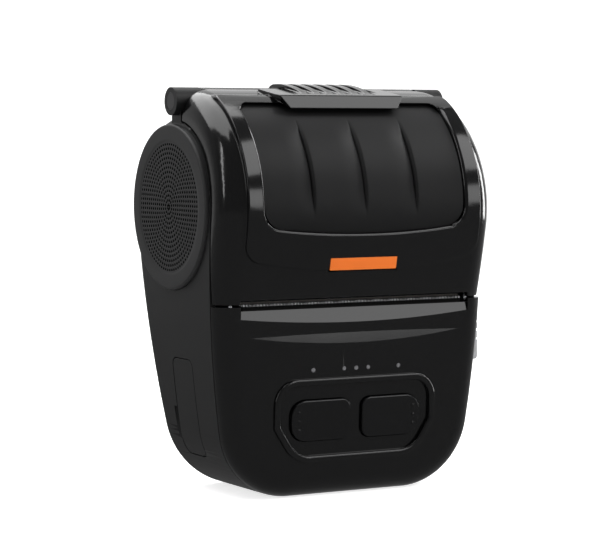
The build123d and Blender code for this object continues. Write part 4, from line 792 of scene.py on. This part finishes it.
# Accent: a plain satin orange bar, snapped into a shallow recess under the window.
accent = clean_copy("accent_bar", "orange_bar", 0.00015)
satin_orange = plastic("satin_orange", (0.78, 0.16, 0.012), 0.45, 0.0005, 0.000008, 0.25)
fit(accent, satin_orange, "cover")


# Platen: a ground black rubber roller on a steel shaft, in two oil-filled bushings of the liner.
ground_rubber = plastic("ground_rubber", (0.018, 0.018, 0.019), 0.75, 0.0003, 0.00002)
bushing_tan = plastic("bushing_tan", (0.42, 0.36, 0.27), 0.5, 0.0004, 0.00001)
dress(ground_rubber, "platen_roller")
dress(bright_steel, "platen_shaft")
dress(bushing_tan, "platen_bushings")


# Hinge: one steel pin through the housing's ears and the cover's knuckle, a coil spring on it, and
# a round plug that closes each ear.
dress(bright_steel, "hinge_pin")
cover_coil = coil("cover_coil", "cover_spring", "X", 0.00035, 8)
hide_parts("cover_spring")
fit(cover_coil, bright_steel, "base")
cap_grey = plastic("cap_grey", (0.022, 0.022, 0.023), 0.4, 0.0004, 0.00001, 0.25)
for side in ("left", "right"):
    cap = clean_copy(side + "_hinge_cap", side + "_hinge_plug", 0.0002)
    fit(cap, cap_grey, "base")


# Side discs: round matt covers over the ends of the roll, pressed into the housing. Fine holes in
# rings fill a shallow dish in each.
def perforated(name, colour, centre, pitch, hole, field):
    """Matt plastic with small pits in even rings about a place in the side view; the pits' near-black colour is
    painted shade that stands in for holes.
    """
    made = plastic(name, colour, 0.5, 0.0004, 0.00002, 0.2)
    nodes, links = made.node_tree.nodes, made.node_tree.links
    skin = nodes["Principled BSDF"]

    def sum_of(kind, first, second=None):
        step = nodes.new("ShaderNodeMath")
        step.operation = kind
        for socket, value in zip(step.inputs, (first, second)):
            if value is None:
                continue
            if isinstance(value, (int, float)):
                socket.default_value = value
            else:
                links.new(value, socket)
        return step.outputs[0]

    place = nodes.new("ShaderNodeTexCoord")
    centred = nodes.new("ShaderNodeMapping")
    centred.inputs["Location"].default_value = (0, -centre[0], -centre[1])
    apart = nodes.new("ShaderNodeSeparateXYZ")
    links.new(place.outputs["Object"], centred.inputs["Vector"])
    links.new(centred.outputs["Vector"], apart.inputs[0])
    far = sum_of("POWER", sum_of("ADD", sum_of("POWER", apart.outputs["Y"], 2), sum_of("POWER", apart.outputs["Z"], 2)), 0.5)
    rings = sum_of("DIVIDE", far, pitch)
    ring = sum_of("FLOOR", rings)
    off_ring = sum_of("MULTIPLY", sum_of("SUBTRACT", sum_of("FRACT", rings), 0.5), pitch)
    count = sum_of("ADD", sum_of("MULTIPLY", ring, 6), 6)
    turn = sum_of("ADD", sum_of("DIVIDE", sum_of("ARCTAN2", apart.outputs["Z"], apart.outputs["Y"]), 2 * pi), 0.5)
    along = sum_of("SUBTRACT", sum_of("FRACT", sum_of("MULTIPLY", turn, count)), 0.5)
    off_turn = sum_of("DIVIDE", sum_of("MULTIPLY", sum_of("MULTIPLY", along, far), 2 * pi), count)
    away = sum_of("POWER", sum_of("ADD", sum_of("POWER", sum_of("ABSOLUTE", off_ring), 2), sum_of("POWER", sum_of("ABSOLUTE", off_turn), 2)), 0.5)
    pit = nodes.new("ShaderNodeMapRange")
    pit.interpolation_type = "SMOOTHSTEP"
    pit.inputs["From Min"].default_value = hole * 1.15
    pit.inputs["From Max"].default_value = hole * 0.75
    links.new(away, pit.inputs["Value"])
    inside = sum_of("LESS_THAN", far, field)
    depth = sum_of("MULTIPLY", pit.outputs["Result"], inside)
    shade = nodes.new("ShaderNodeMix")
    shade.data_type = "RGBA"
    links.new(skin.inputs["Base Color"].links[0].from_socket, shade.inputs["A"])
    # painted shade: near-black colour in the pits stands in for the shade inside the holes
    shade.inputs["B"].default_value = (0.002, 0.002, 0.002, 1)
    links.new(depth, shade.inputs["Factor"])
    links.new(shade.outputs["Result"], skin.inputs["Base Color"])
    links.new(sum_of("MULTIPLY", sum_of("SUBTRACT", 1, depth), 0.2), skin.inputs["Specular IOR Level"])
    sunk = nodes.new("ShaderNodeBump")
    sunk.invert = True
    sunk.inputs["Distance"].default_value = 0.0006
    links.new(depth, sunk.inputs["Height"])
    links.new(nodes["grain_bump"].outputs["Normal"], sunk.inputs["Normal"])
    links.new(sunk.outputs["Normal"], skin.inputs["Normal"])
    return made


disc_radius = 0.0259
disc_thickness = 0.0023
disc_face = 0.050
disc_grey = perforated("disc_grey", (0.019, 0.019, 0.0195), (roll_y, roll_z), 0.00146, 0.00050, 0.0200)
for name, side in (("left", -1), ("right", 1)):
    bpy.ops.object.select_all(action="DESELECT")
    bpy.ops.mesh.primitive_cylinder_add(
        vertices=160, radius=disc_radius, depth=disc_thickness, end_fill_type="NGON",
        location=(side * (disc_face - disc_thickness / 2), roll_y, roll_z), rotation=(0, radians(90), 0),
    )
    disc = bpy.context.object
    disc.name = name + "_roll_cover"
    disc.data.name = disc.name
    bpy.ops.object.transform_apply(location=True, rotation=True, scale=True)
    corners = disc.data.vertices
    pick(disc, "EDGE", lambda edge: all(abs(corners[v].co.x * side - disc_face) < 0.00001 for v in edge.vertices))
    bpy.ops.mesh.bevel(offset=0.0009, segments=5, affect="EDGES")
    bpy.ops.object.mode_set(mode="OBJECT")
    pick(disc, "FACE", lambda face: face.normal.x * side > 0.99 and len(face.vertices) > 20)
    bpy.ops.mesh.inset(thickness=0.0036)
    bpy.ops.mesh.inset(thickness=0.0006, depth=-0.00018)
    bpy.ops.mesh.inset(thickness=0.0006, depth=-0.00006)
    bpy.ops.object.mode_set(mode="OBJECT")
    shade_evenly(disc, 40)
    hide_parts(name + "_side_disc")
    fit(disc, disc_grey, "base")


# Interface cover: a small matt flap over the sockets, low on the left side, on a soft hinge.
flap = clean_copy("interface_cover", "socket_flap", 0.0002)
fit(flap, matt_black, "interface_flap")


# Battery: a pack with a rounded shell that slides into the back, and the ribbed latch above it.
pack = clean_copy("battery_pack", "battery_shell", 0.0003)
fit(pack, matt_black, "battery")
catch = clean_copy("battery_latch", "battery_slider", 0.0002)
fit(catch, matt_black, "battery_catch")
